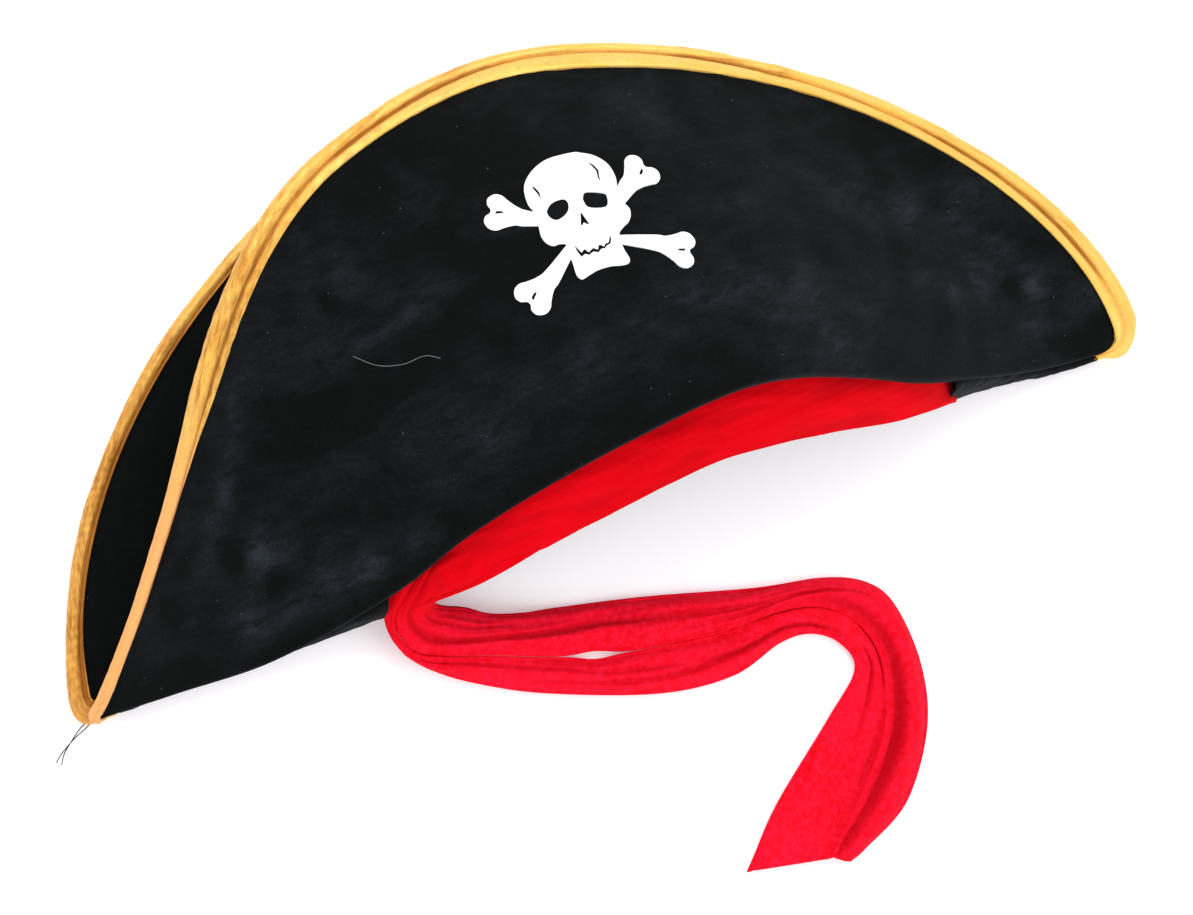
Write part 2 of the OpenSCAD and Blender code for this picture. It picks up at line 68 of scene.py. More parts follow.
# Edges of the sash from where it leaves the band's left end, round the turn and along the tails
TURN_TOP = [[-94.5, -1, 22], [-95.5, -1.2, 17.5], [-93.5, -2.2, 13], [-89.5, -4, 10.5], [-82, -7, 9],
            [-73, -12.5, 7.5], [-60, -16.5, 6]]
TURN_MIDDLE = [[-108, 3, 24], [-111.5, -0.5, 19], [-112.5, -5, 15], [-111, -11, 11.5], [-106.5, -17, 8.5],
               [-96, -22, 6.5], [-77, -28.5, 5.5]]
TURN_LOW = [[-113, 7, 24], [-116, 1, 19], [-116, -5, 14.5], [-114, -11, 10.5], [-109.5, -18, 6.5],
            [-102, -25.5, 4], [-88, -35.5, 3]]
TAIL_TOP = [[-45, -19], [-9, -27], [36, -39], [66, -45], [83, -53], [91, -66], [92, -92], [84, -117],
            [64, -141], [40, -152], [32, -154.5]]
TAIL_MIDDLE = [[-50, -38], [-20, -46], [16, -51], [43, -51], [62, -56], [74, -68], [77, -86], [68, -110],
               [50, -130], [32, -145], [26, -150.5]]
TAIL_LOW = [[-62, -49], [-18, -65], [14, -69], [38, -63.5], [52, -64.5], [62, -72], [64, -84], [46, -98],
            [12, -122], [-5.5, -138], [-10.5, -142.5]]
SKULL_AT, SKULL_TURN, SKULL_STRETCH = (-3.0, 111.0), -5.0, 1.05
# The gold binding's left and right corners at the tips: width, height and lowest point of each
FRONT_CORNERS = (1.5, 3, 1.6), (16, 10.5, 0.6)
BACK_CORNERS = (11, 5, 4.6), (8, 8, 5)
CORNER_POWER = 3.0
CLOTH_INSET = 1.5  # how far the velour's edge lies inside the flap's, under the binding
CLOTH_REACH = 87.4  # angle on the outline at which the velour ends near each tip
HAIR_R, LOOSE_R, BAR_R, STITCH_R, TACK_R = 0.09, 0.2, 0.42, 0.3, 0.8  # threads


# ---------------------------------------------------------------- curves and the brim's surface
def bump(x, middle, half_w):
    return np.exp(-(((x - middle) / half_w) ** 2))


def ramp(x, start, end):
    """0 before start, 1 after end, smooth in between."""
    t = np.clip((np.asarray(x, float) - start) / (end - start), 0, 1)
    return t * t * (3 - 2 * t)


def signed_pow(b, p):
    return np.sign(b) * np.abs(b) ** p


def pairs(*parts):
    """Points made of parts that stretch to one shape."""
    return np.stack(np.broadcast_arrays(*parts), -1)


def arc_length(path):
    steps = np.linalg.norm(np.diff(path, axis=0), axis=1)
    return np.concatenate([[0], np.cumsum(steps)])


def smooth_table(pts, x):
    """Smooth curve through a table of points, read at x."""
    pts = np.array(pts, float)
    xs, ys = pts[:, 0], pts[:, 1]
    m = np.empty(len(xs))
    m[1:-1] = (ys[2:] - ys[:-2]) / (xs[2:] - xs[:-2])
    m[0] = (ys[1] - ys[0]) / (xs[1] - xs[0])
    m[-1] = (ys[-1] - ys[-2]) / (xs[-1] - xs[-2])
    x = np.clip(x, xs[0], xs[-1])
    i = np.clip(np.searchsorted(xs, x) - 1, 0, len(xs) - 2)
    w = xs[i + 1] - xs[i]
    t = (x - xs[i]) / w
    return ((1 + 2 * t) * (1 - t) ** 2 * ys[i] + t * (1 - t) ** 2 * w * m[i]
            + t * t * (3 - 2 * t) * ys[i + 1] - t * t * (1 - t) * w * m[i + 1])


def along(pts, u):
    """Catmull-Rom curve through points, where u runs from 0 to the last point's index."""
    p = np.array(pts, float)
    p = np.vstack([2 * p[0] - p[1], p, 2 * p[-1] - p[-2]])
    u = np.asarray(u, float)
    i = np.clip(np.floor(u).astype(int), 0, len(p) - 4)
    t = (u - i)[..., None]
    a, b, c, d = p[i], p[i + 1], p[i + 2], p[i + 3]
    return 0.5 * (2 * b + (c - a) * t + (2 * a - 5 * b + 4 * c - d) * t ** 2
                  + (3 * b - a - 3 * c + d) * t ** 3)


def outline(a):
    """Point of the half-moon's edge; its left shoulder is a little fuller than its right one."""
    r = np.radians(a)
    left = np.asarray(a) < 0
    power = np.where(left, LEFT_POWER, OUTLINE_POWER)
    width = np.where(left, CLOTH_W + LEFT_EXTRA, CLOTH_W)
    return pairs(signed_pow(np.sin(r), 2 / power) * width, signed_pow(np.cos(r), 2 / power) * CLOTH_H)


def flat_edge(a, d):
    """Point of the flat half-moon at angle a, a distance d inside the cloth's edge."""
    t = outline(a + 0.1) - outline(a - 0.1)
    t /= np.linalg.norm(t, axis=-1, keepdims=True)
    return outline(a) + np.asarray(d)[..., None] * pairs(t[..., 1], -t[..., 0])


def angle_at(x):
    """Angle at which the outline passes over x: -90 at the left tip and 90 at the right."""
    left = np.asarray(x) < 0
    share = np.minimum(1, np.abs(x) / np.where(left, CLOTH_W + LEFT_EXTRA, CLOTH_W))
    power = np.where(left, LEFT_POWER, OUTLINE_POWER)
    return np.sign(x) * np.degrees(np.arcsin(share ** (power / 2)))


def edge_z(a):
    return (TIP_Z + EDGE_RISE * (1 - (np.abs(a) / 90) ** 4)
            + WING_RISE * np.sin(np.pi * np.clip(-a / 90, 0, 1) ** 1.2))


def foot_z(x):
    t = np.clip(np.abs(x - OPEN_X) / ARCH_HALF_W, 0, 1)
    return TIP_Z + ARCH_RISE * (1 - t ** 2) ** 1.9


def flap_point(x, y):
    """Point of the front flap's middle surface, from a point of the flat half-moon."""
    a = angle_at(x)
    low = smooth_table(FLAP_FOOT, x)
    high = outline(a)[..., 1]
    v = np.clip((y - low) / np.maximum(1, high - low), 0, 1)
    swell = BULGE * bump(a, 8, 34) - 4 * bump(a, -48, 18)
    tuck = WING_TUCK * np.sin(np.pi * np.clip((-a - 25) / 65, 0, 1) ** 1.36)
    z = foot_z(x) + v * (edge_z(a) - foot_z(x)) + swell * 4 * v * (1 - v) * (1.35 - 0.7 * v)
    return pairs(x + v * tuck, y, z)


def crown_half_w(y):
    return OPEN_HALF_W * (1 - np.clip(y / (CROWN_DEPTH + 6), 0, 1) ** 2.6) ** 0.55


def crown_h(y):
    front = 1 - 0.3 * np.clip((45 - y) / 42, 0, 1) ** 2.2
    back = 1 - 0.62 * np.clip((y - 45) / (CROWN_DEPTH - 45), 0, 1) ** 2.2
    return CROWN_RISE * front * back


def crown_point(k, w):
    """Outside of the crown at depth k from 0 to 1 and angle w: 0 right seam, 90 top, 180 left."""
    r = np.radians(w)
    c, s = np.cos(r), np.sin(r)
    rim = smooth_table(FRONT_RIM, OPEN_HALF_W * c)
    back_rim = smooth_table(BACK_FOOT, OPEN_HALF_W * c + OPEN_X) - 2
    rim = np.where(s > 0, rim, rim * (1 + s) - back_rim * s)
    y = rim + (CROWN_DEPTH - rim) * k
    up = SEAM_Z + crown_h(y) * np.abs(s) ** 1.24
    down = SEAM_Z - (SEAM_Z - CROWN_FLOOR_Z) * np.abs(s) ** 0.5
    return pairs(OPEN_X + crown_half_w(y) * c, y, np.where(s >= 0, up, down))


def waves(p, length, seed, count=14):
    """Smooth noise of about -1 to 1 at points p (..., n), from seeded sine waves."""
    rng = np.random.default_rng(seed)
    total = 0
    for _ in range(count):
        d = rng.normal(size=p.shape[-1])
        k = 2 * np.pi * d / np.linalg.norm(d) / (length * rng.uniform(0.6, 1.7))
        total = total + np.sin(p @ k + rng.uniform(0, 2 * np.pi))
    return total * 1.3 / sqrt(count)


# ---------------------------------------------------------------- meshes
def unit(v):
    return v / np.maximum(np.linalg.norm(v, axis=-1, keepdims=True), 1e-9)


def normals(g):
    """Unit normals of a grid of points, cross(rows' direction, columns' direction)."""
    return unit(np.cross(np.gradient(g, axis=0), np.gradient(g, axis=1)))


def place(p):
    return (np.asarray(p, float) - [OPEN_X, 0, OPEN_Z]) / 1000


def finish_object(name, mesh, material, sharp):
    mesh.validate()
    mesh.polygons.foreach_set("use_smooth", [True] * len(mesh.polygons))
    mesh.set_sharp_from_angle(angle=radians(sharp))
    mesh.materials.append(material)
    obj = bpy.data.objects.new(name, mesh)
    bpy.context.scene.collection.objects.link(obj)
    return obj


def poly_object(name, points, faces, material, sharp=40.0):
    mesh = bpy.data.meshes.new(name)
    mesh.from_pydata([tuple(p) for p in place(points)], [], faces)
    return finish_object(name, mesh, material, sharp)


def quad_object(name, points, faces, material, sharp=40.0, attributes=None):
    """The same for many faces of four corners, with a number at each point for each attribute."""
    mesh = bpy.data.meshes.new(name)
    faces = np.asarray(faces, np.int32)
    mesh.vertices.add(len(points))
    mesh.vertices.foreach_set("co", place(points).ravel())
    mesh.loops.add(faces.size)
    mesh.loops.foreach_set("vertex_index", faces.ravel())
    mesh.polygons.add(len(faces))
    mesh.polygons.foreach_set("loop_start", np.arange(0, faces.size, 4, dtype=np.int32))
    mesh.update(calc_edges=True)
    for key, values in (attributes or {}).items():
        layer = mesh.attributes.new(key, "FLOAT", "POINT")
        layer.data.foreach_set("value", np.asarray(values, np.float32).ravel())
    return finish_object(name, mesh, material, sharp)


def ring_quads(nu, nv):
    """Faces between nu closed rings of nv points."""
    i = np.arange(nu - 1)[:, None]
    j = np.arange(nv)[None, :]
    k = (j + 1) % nv
    return np.stack([i * nv + j, (i + 1) * nv + j, (i + 1) * nv + k, i * nv + k], -1).reshape(-1, 4)


def shell(name, outer, inner, material, attributes=None, **options):
    """Closed cloth between two grids, whose outer normal is cross(rows, columns). Its rim is
    rounded by a middle row of points. An attribute is a number for each point of the grid."""
    nu, nv = outer.shape[:2]
    rim_u = (outer + inner) / 2
    thick = np.linalg.norm(outer - inner, axis=-1, keepdims=True) / 2
    du = unit(np.gradient(rim_u, axis=0)) * thick * 0.8
    dv = unit(np.gradient(rim_u, axis=1)) * thick * 0.8
    low_v, high_v = rim_u[:, 0] - dv[:, 0], rim_u[:, -1] + dv[:, -1]
    loop = np.concatenate([outer, high_v[:, None], inner[:, ::-1], low_v[:, None]], axis=1)
    n = loop.shape[1]
    caps, faces = [], [ring_quads(nu, n)]
    base = nu * n
    for row, step in ((0, -1), (nu - 1, 1)):
        middle = rim_u[row] + step * du[row]
        caps.append(middle)
        out = row * n + np.arange(nv)
        back = row * n + 2 * nv - np.arange(nv)
        mid = base + np.arange(nv)
        base += nv
        quads = [np.stack([out[:-1], out[1:], mid[1:], mid[:-1]], -1),
                 np.stack([mid[:-1], mid[1:], back[1:], back[:-1]], -1)]
        ends = [[out[0], mid[0], back[0], row * n + n - 1],
                [out[-1], row * n + nv, back[-1], mid[-1]]]
        quads = np.concatenate(quads + [np.array(ends)])
        faces.append(quads if step < 0 else quads[:, ::-1])
    points = np.concatenate([loop.reshape(-1, 3)] + caps)
    spread = {}
    for key, values in (attributes or {}).items():
        ring = np.concatenate([values, values[:, -1:], values[:, ::-1], values[:, :1]], axis=1)
        spread[key] = np.concatenate([ring.ravel(), values[0], values[-1]])
    return quad_object(name, points, np.concatenate(faces), material, attributes=spread, **options)


def tube(name, path, radius, material, sides=10):
    """Round tube along a path of points, with its ends closed."""
    path = np.asarray(path, float)
    t = unit(np.gradient(path, axis=0))
    side = unit(np.cross(t, [0.13, 0.27, 1.0]))
    up = np.cross(side, t)
    q = np.linspace(0, 2 * np.pi, sides, endpoint=False)[None, :, None]
    rings = path[:, None] + radius * (np.cos(q) * side[:, None] + np.sin(q) * up[:, None])
    n = len(path)
    points = np.concatenate([rings.reshape(-1, 3), path[:1], path[-1:]])
    faces = ring_quads(n, sides)[:, ::-1].tolist()
    last = (n - 1) * sides
    for j in range(sides):
        k = (j + 1) % sides
        faces += [[n * sides, j, k], [n * sides + 1, last + k, last + j]]
    return poly_object(name, points, faces, material, 50.0)


# ---------------------------------------------------------------- materials
class Nodes:
    """A short way to write a node tree: call it with a node type and its inputs."""

    def __init__(self, name):
        self.material = bpy.data.materials.new(name)
        self.material.use_nodes = True
        self.tree = self.material.node_tree
        self.tree.nodes.clear()
        self.coords = self("ShaderNodeTexCoord").outputs["Object"]

    def __call__(self, kind, inputs=None, **settings):
        node = self.tree.nodes.new(kind)
        for key, value in settings.items():
            setattr(node, key, value)
        for key, value in (inputs or {}).items():
            if isinstance(value, bpy.types.NodeSocket):
                self.tree.links.new(value, node.inputs[key])
            else:
                node.inputs[key].default_value = value
        return node

    def noise(self, scale, detail=2.0, rough=0.5, stretch=None, turn=(0, 0, 0), distortion=0.0):
        vector = self.coords
        if stretch:
            vector = self("ShaderNodeMapping", {"Vector": vector, "Scale": stretch,
                                                "Rotation": turn}).outputs["Vector"]
        return self("ShaderNodeTexNoise", {"Vector": vector, "Scale": scale, "Detail": detail,
                                           "Roughness": rough, "Distortion": distortion}).outputs["Fac"]

    def attribute(self, name):
        return self("ShaderNodeAttribute", attribute_name=name).outputs["Fac"]

    def math(self, operation, a, b=0.0, clamp=False):
        return self("ShaderNodeMath", {0: a, 1: b}, operation=operation, use_clamp=clamp).outputs[0]

    def range(self, value, low, high, to_low=0.0, to_high=1.0):
        return self("ShaderNodeMapRange", {"Value": value, "From Min": low, "From Max": high,
                                           "To Min": to_low, "To Max": to_high}).outputs["Result"]

    def mix(self, factor, a, b, blend="MIX"):
        node = self("ShaderNodeMix", data_type="RGBA", blend_type=blend)
        for socket, value in ((node.inputs[0], factor), (node.inputs[6], a), (node.inputs[7], b)):
            if isinstance(value, bpy.types.NodeSocket):
                self.tree.links.new(value, socket)
            else:
                socket.default_value = value
        return node.outputs[2]

    def bump(self, height, strength, distance, before=None):
        inputs = {"Height": height, "Strength": strength, "Distance": distance}
        if before is not None:
            inputs["Normal"] = before
        return self("ShaderNodeBump", inputs).outputs["Normal"]

    def finish(self, **inputs):
        shader = self("ShaderNodeBsdfPrincipled", {k.replace("_", " "): v for k, v in inputs.items()})
        out = self("ShaderNodeOutputMaterial")
        self.tree.links.new(shader.outputs[0], out.inputs[0])
        return self.material


def velour_material(name, dark, light, streak=1.0):
    """Dense pile: a fine dark grain, paler patches where the pile is brushed the other way, which are
    painted sheen (an attribute adds more), and lint.
    """
    n = Nodes(name)
    patches = n.noise(16, 4, 0.55, stretch=(1.0, 1.7, 1.0), turn=(0, 0, 0.5), distortion=0.7)
    hairs = n.noise(95, 4, 0.65, stretch=(1.0, 2.6, 1.0), turn=(0, 0, -0.6), distortion=0.4)
    grain = n.noise(1100, 3, 0.6)
    nap_sheen = n.attribute("nap_sheen")
    # Painted sheen: the paler nap patches, from noise and from the attribute.
    wanted = n.math("ADD", n.range(patches, 0.50, 0.80, 0.0, 0.55), nap_sheen)
    broken = n.math("MULTIPLY", wanted, n.range(hairs, 0.32, 0.68, 0.2, 1.25))
    colour = n.mix(n.math("MULTIPLY", broken, streak, clamp=True), dark, light)
    deep = n.mix(1.0, colour, (0.2, 0.2, 0.2, 1), "MULTIPLY")
    colour = n.mix(n.range(grain, 0.3, 0.7, 0.0, 0.6), colour, deep)
    specks = n("ShaderNodeTexVoronoi", {"Vector": n.coords, "Scale": 210.0, "Randomness": 1.0})
    lint = n.math("MULTIPLY", n.math("LESS_THAN", specks.outputs["Distance"], 0.05),
                  n.math("GREATER_THAN", n.noise(33, 2, 0.5), 0.585))
    colour = n.mix(n.math("MULTIPLY", lint, 0.5), colour, (0.16, 0.17, 0.18, 1))
    normal = n.bump(grain, 0.55, 0.0006)
    normal = n.bump(hairs, 0.22, 0.0012, normal)
    return n.finish(Base_Color=colour, Roughness=0.9, Normal=normal, Specular_IOR_Level=0.07,
                    Sheen_Weight=0.07, Sheen_Roughness=0.4, Sheen_Tint=(0.62, 0.70, 0.80, 1))


def gold_material():
    """Thin metallic cloth. run and over are metres along and across the tape, crease_shade_and_tone is
    the shade painted into its creases with a darker tone along parts of it, and pale is how pink and
    plain it is."""
    n = Nodes("gold_lame")
    crease_shade_and_tone = n.attribute("crease_shade_and_tone")
    pale = n.attribute("pale")
    n.coords = n("ShaderNodeCombineXYZ", {"X": n.attribute("run"), "Y": n.attribute("over")}).outputs[0]
    streaks = n.noise(1.0, 4, 0.6, stretch=(60, 620, 1), distortion=0.3)
    slow = n.noise(1.0, 3, 0.55, stretch=(22, 160, 1), distortion=0.4)
    weave = n.noise(1.0, 2, 0.6, stretch=(1500, 2400, 1))
    # Painted shade: the creases and dark streaks on the roll turn dark brown, as do the darker parts of the
    # tape.
    dark = n.range(n.math("ADD", crease_shade_and_tone, n.range(streaks, 0.3, 0.7, -0.28, 0.28)), 0.12, 0.85)
    colour = n.mix(n.range(slow, 0.3, 0.7), (0.84, 0.44, 0.055, 1), (0.91, 0.56, 0.12, 1))
    # Paler streaks along the threads: a painted highlight.
    colour = n.mix(n.range(streaks, 0.42, 0.75, 0.0, 0.6), colour, (0.98, 0.74, 0.26, 1))
    colour = n.mix(n.range(crease_shade_and_tone, 0.15, 0.5, 0.0, 0.75), colour, (0.82, 0.36, 0.045, 1))
    colour = n.mix(dark, colour, (0.38, 0.14, 0.010, 1))
    colour = n.mix(n.math("MULTIPLY", pale, 0.8), colour, (0.80, 0.35, 0.13, 1))
    grit = n.noise(1.0, 3, 0.7, stretch=(480, 620, 1))
    grit_share = n.range(crease_shade_and_tone, 0.0, 1.0, 0.18, 1.0)
    gritty = n.math("MULTIPLY", n.range(grit, 0.48, 0.68), grit_share, clamp=True)
    colour = n.mix(gritty, colour, (0.34, 0.13, 0.012, 1))
    normal = n.bump(streaks, 0.25, 0.0004)
    normal = n.bump(weave, 0.35, 0.0002, normal)
    return n.finish(Base_Color=colour, Metallic=0.3, Roughness=n.range(streaks, 0.3, 0.7, 0.5, 0.4),
                    Normal=normal, Specular_IOR_Level=0.35, Sheen_Weight=0.06, Sheen_Roughness=0.35,
                    Sheen_Tint=(1.0, 0.85, 0.5, 1))


def red_material():
    """One red cloth: taut and plain on the band, and slack, pinker and fuzzier along the tails."""
    n = Nodes("red_cloth")
    slow = n.noise(38, 4, 0.6, distortion=0.6)
    knit = n.noise(1500, 2, 0.6)
    mottle = n.noise(380, 4, 0.7)
    fold = n.attribute("fold")
    slack = n.attribute("slack")
    taut = n.mix(n.range(slow, 0.35, 0.68), (0.62, 0.0, 0.003, 1), (0.70, 0.0, 0.006, 1))
    fuzzy = n.mix(n.range(slow, 0.35, 0.68), (0.74, 0.0015, 0.010, 1), (0.84, 0.004, 0.022, 1))
    fuzzy = n.mix(n.range(mottle, 0.42, 0.7, 0.0, 0.8), fuzzy, (0.92, 0.012, 0.052, 1))
    colour = n.mix(slack, taut, fuzzy)
    # Painted shade: the fold attribute darkens the valleys of folds and the band's rolled edge.
    colour = n.mix(n.math("MULTIPLY", fold, 1.0, clamp=True), colour, (0.40, 0.0, 0.004, 1))
    normal = n.bump(knit, 0.4, 0.0004)
    normal = n.bump(mottle, 0.3, 0.0006, normal)
    return n.finish(Base_Color=colour, Roughness=0.85, Normal=normal, Specular_IOR_Level=0.05,
                    Sheen_Weight=0.05, Sheen_Roughness=0.5, Sheen_Tint=(1.0, 0.15, 0.2, 1))


def plain_cloth(name, colour, other, scale, roughness=0.85, sheen=0.1):
    n = Nodes(name)
    weave = n.noise(scale, 3, 0.6)
    slow = n.noise(30, 3, 0.5)
    mixed = n.mix(n.range(weave, 0.35, 0.65), colour, other)
    mixed = n.mix(n.range(slow, 0.4, 0.7, 0, 0.3), mixed, other)
    return n.finish(Base_Color=mixed, Roughness=roughness, Normal=n.bump(weave, 0.4, 0.0004),
                    Specular_IOR_Level=0.25, Sheen_Weight=sheen)


def film_material():
    n = Nodes("print_film")
    grain = n.noise(900, 3, 0.6)
    slow = n.noise(60, 3, 0.6)
    colour = n.mix(n.range(slow, 0.4, 0.75), (0.90, 0.90, 0.90, 1), (0.80, 0.81, 0.82, 1))
    return n.finish(Base_Color=colour, Roughness=0.5, Normal=n.bump(grain, 0.25, 0.0003),
                    Specular_IOR_Level=0.4)


VELOUR = velour_material("velour", (0.0030, 0.0037, 0.0036, 1), (0.024, 0.029, 0.038, 1))
# A darker copy of the velour, with fainter pale patches, for the back flap, the crown and the side folds:
# painted shade.
VELOUR_SHADED = velour_material("velour_shaded", (0.0034, 0.0040, 0.0040, 1),
                                (0.011, 0.013, 0.015, 1), 0.5)
GOLD = gold_material()
RED = red_material()
LINING = plain_cloth("lining", (0.006, 0.0065, 0.007, 1), (0.012, 0.013, 0.014, 1), 1600)
TAPE = plain_cloth("sweatband", (0.016, 0.017, 0.019, 1), (0.03, 0.031, 0.034, 1), 1300)
FILM = film_material()
TWIST = 2600  # scale of the threads' twist
GOLD_THREAD = plain_cloth("gold_thread", (0.55, 0.27, 0.04, 1), (0.8, 0.5, 0.13, 1), TWIST, 0.5, 0.2)
LINT = plain_cloth("lint", (0.20, 0.21, 0.22, 1), (0.28, 0.29, 0.30, 1), TWIST)
RED_THREAD = plain_cloth("red_thread", (0.45, 0.004, 0.01, 1), (0.62, 0.01, 0.02, 1), TWIST, 0.6, 0.2)


# ---------------------------------------------------------------- front flap
def flap_grid(n_ribs, n_cells, inset, reach, start):
    """Grid of the front flap's middle surface: ribs from tip to tip and cells from foot to edge,
    with the flat x and y of its points and the flat y of each rib's foot. Near the right tip the
    ribs are drawn in under the binding."""
    a = np.linspace(-reach, reach, n_ribs)
    e = flat_edge(a, inset + 1.6 * ramp(a, 80, 86))
    foot = np.maximum(smooth_table(FLAP_FOOT, e[:, 0]), tip_corner(e[:, 0]))
    low = np.minimum(foot, e[:, 1] - 0.4)[:, None]
    s = start + (1 - start) * np.linspace(0, 1, n_cells)
    x = np.repeat(e[:, :1], n_cells, axis=1)
    y = low + (e[:, 1:] - low) * s
    return flap_point(x, y), x, y, low


def soft_dents(p, from_edge):
    """Small unevenness of the velour: slow swells, and puckers along the binding."""
    slow = 0.55 * waves(p[..., :2], 62, 3) + 0.28 * waves(p[..., :2], 24, 4)
    pucker = 0.30 * waves(p[..., :2], 9, 5) * np.exp(-from_edge / 11)
    return slow * ramp(from_edge, 0, 22) + pucker


def nap_sheen_at(x, y):
    """Painted sheen where the pile is brushed the other way and looks paler, as patches over the flat
    flap: each has its middle, its two half widths, its turn and its strength."""
    spots = [(176, 40, 44, 9, -12, 0.7), (150, 76, 40, 12, -35, 0.5), (105, 92, 40, 14, -30, 0.3),
             (196, 22, 26, 6, 0, 0.5), (-176, 66, 9, 36, -24, 0.75), (-160, 32, 13, 22, -30, 0.7),
             (-128, 18, 36, 7, 8, 0.8), (-100, 122, 26, 22, 0, 0.35), (40, 150, 46, 16, -10, 0.1),
             (-40, 60, 60, 26, 10, 0.22), (70, 50, 50, 18, -10, 0.3)]
    total = 0
    for cx, cy, rx, ry, turn, strength in spots:
        c, s = cos(radians(turn)), sin(radians(turn))
        u = (x - cx) * c + (y - cy) * s
        v = (y - cy) * c - (x - cx) * s
        total = total + strength * np.exp(-(u / rx) ** 2 - (v / ry) ** 2)
    return total * (0.75 + 0.35 * waves(pairs(x, y), 21, 11))


def tip_corner(x):
    """Lower end of the cloth near the right tip, whose corner is round."""
    half_w, height, low = FRONT_CORNERS[1]
    t = np.clip((x - (CLOTH_W - half_w)) / half_w, 0, 0.99)
    rise = height * (1 - (1 - t ** CORNER_POWER) ** (1 / CORNER_POWER))
    return np.where(x > CLOTH_W - half_w, low + 0.6 + rise, -99)


def edge_distance(x, y):
    """Distance of a point of the flat half-moon from its edge, round the right tip's corner too."""
    left = x < 0
    p = np.where(left, LEFT_POWER, OUTLINE_POWER)
    u = np.abs(x) / np.where(left, CLOTH_W + LEFT_EXTRA, CLOTH_W)
    v = np.maximum(y, 0) / CLOTH_H
    level = np.maximum(u ** p + v ** p, 1e-6)
    slope = np.hypot(u ** (p - 1) / CLOTH_W, v ** (p - 1) / CLOTH_H) * level ** (1 / p - 1)
    whole = (1 - level ** (1 / p)) / slope
    half_w, height, low = FRONT_CORNERS[1]
    across, down = (x - CLOTH_W + half_w) / half_w, (low + height - y) / height
    beyond = np.maximum(across, 0) ** CORNER_POWER + np.maximum(down, 0) ** CORNER_POWER
    corner = (1 - beyond ** (1 / CORNER_POWER)) * height
    return np.where((across > 0) & (down > 0), np.minimum(whole, corner), whole)


def band_top(x, y):
    """Height of the sash band's outside over a point of the table."""
    c = np.clip((x - OPEN_X) / crown_half_w(y), -1, 1)
    return SEAM_Z + crown_h(y) * (1 - c ** 2) ** 0.62 + 3.2


ribs, cells = 300, 120
mid = flap_grid(ribs, cells, CLOTH_INSET, CLOTH_REACH, 0.0)[0]
column = np.linalg.norm(mid[:, 2:3] - mid[:, :1], axis=2) * (cells - 1) / 2
mid, flat_x, flat_y, low_y = flap_grid(ribs, cells, CLOTH_INSET, CLOTH_REACH, HALF_T / column)
nrm = normals(mid)
from_edge = np.maximum(0, edge_distance(flat_x, flat_y))
from_foot = flat_y - low_y
dents = soft_dents(mid, from_edge) * ramp(from_foot, 0, 12)
dents *= 1 - 0.85 * np.exp(-((flat_x - SKULL_AT[0]) / 44) ** 4 - ((flat_y - SKULL_AT[1]) / 36) ** 4)
lift = HALF_T - 0.9 * (1 - ramp(from_edge, 0.5, 7)) - 0.7 * ramp(flat_x, 221, 228) + dents
top = mid + nrm * lift[..., None]
# The velour rolls round the flap's foot and hangs down to the sash band.
roll_n, hem_n = 16, 8  # rows of points in each
down = unit(mid[:, 0] - mid[:, 3])
room = mid[:, 0, 2] - HALF_T - band_top(mid[:, 0, 0], mid[:, 0, 1]) - 0.6
drop = np.where(np.abs(mid[:, 0, 0] - OPEN_X) < OPEN_HALF_W, np.clip(room, 0.2, 7), 0.2)
drop = np.convolve(np.pad(drop, 8, mode="edge"), np.ones(17) / 17, mode="valid")
q = np.linspace(0, np.pi, roll_n + 2)[1:-1]
tall = (HALF_T + drop / 2)[:, None]
slim = 1 - 0.6 * ramp(flat_x[:, :1], 218, 227)
roll = (mid[:, :1] + nrm[:, :1] * (slim * (tall * np.cos(q) - (drop / 2)[:, None]))[..., None]
        + down[:, None] * (slim * HALF_T * np.sin(q))[..., None])
hem_at = np.linspace(1, 12, hem_n).astype(int)
hem_drop = drop[:, None] * np.linspace(1, 0, hem_n) ** 1.5
hem = mid[:, hem_at] - nrm[:, hem_at] * (slim * (HALF_T + 0.05 + hem_drop))[..., None]
front = np.concatenate([hem[:, ::-1], roll[:, ::-1], top], axis=1)
# Painted sheen on the velour's top: the paler nap patches, none on the roll and hem.
nap_sheen = np.concatenate([np.zeros((ribs, hem_n + roll_n)),
                      nap_sheen_at(flat_x, flat_y) * ramp(from_foot, 1, 9)], axis=1)
velour = shell("front_velour", front, front - normals(front) * 0.9, VELOUR, {"nap_sheen": nap_sheen})

under_grid = flap_grid(160, 50, CLOTH_INSET + 0.1, CLOTH_REACH - 0.4, 0.06)[0]
under_n = normals(under_grid)
under_dents = 0.35 * waves(under_grid[..., :2], 40, 21) + 0.15 * waves(under_grid[..., :2], 15, 22)
outer = under_grid - under_n * (HALF_T - 0.35 + under_dents)[..., None]
front_lining = shell("front_lining", outer[:, ::-1], (outer + under_n * 0.7)[:, ::-1], LINING)


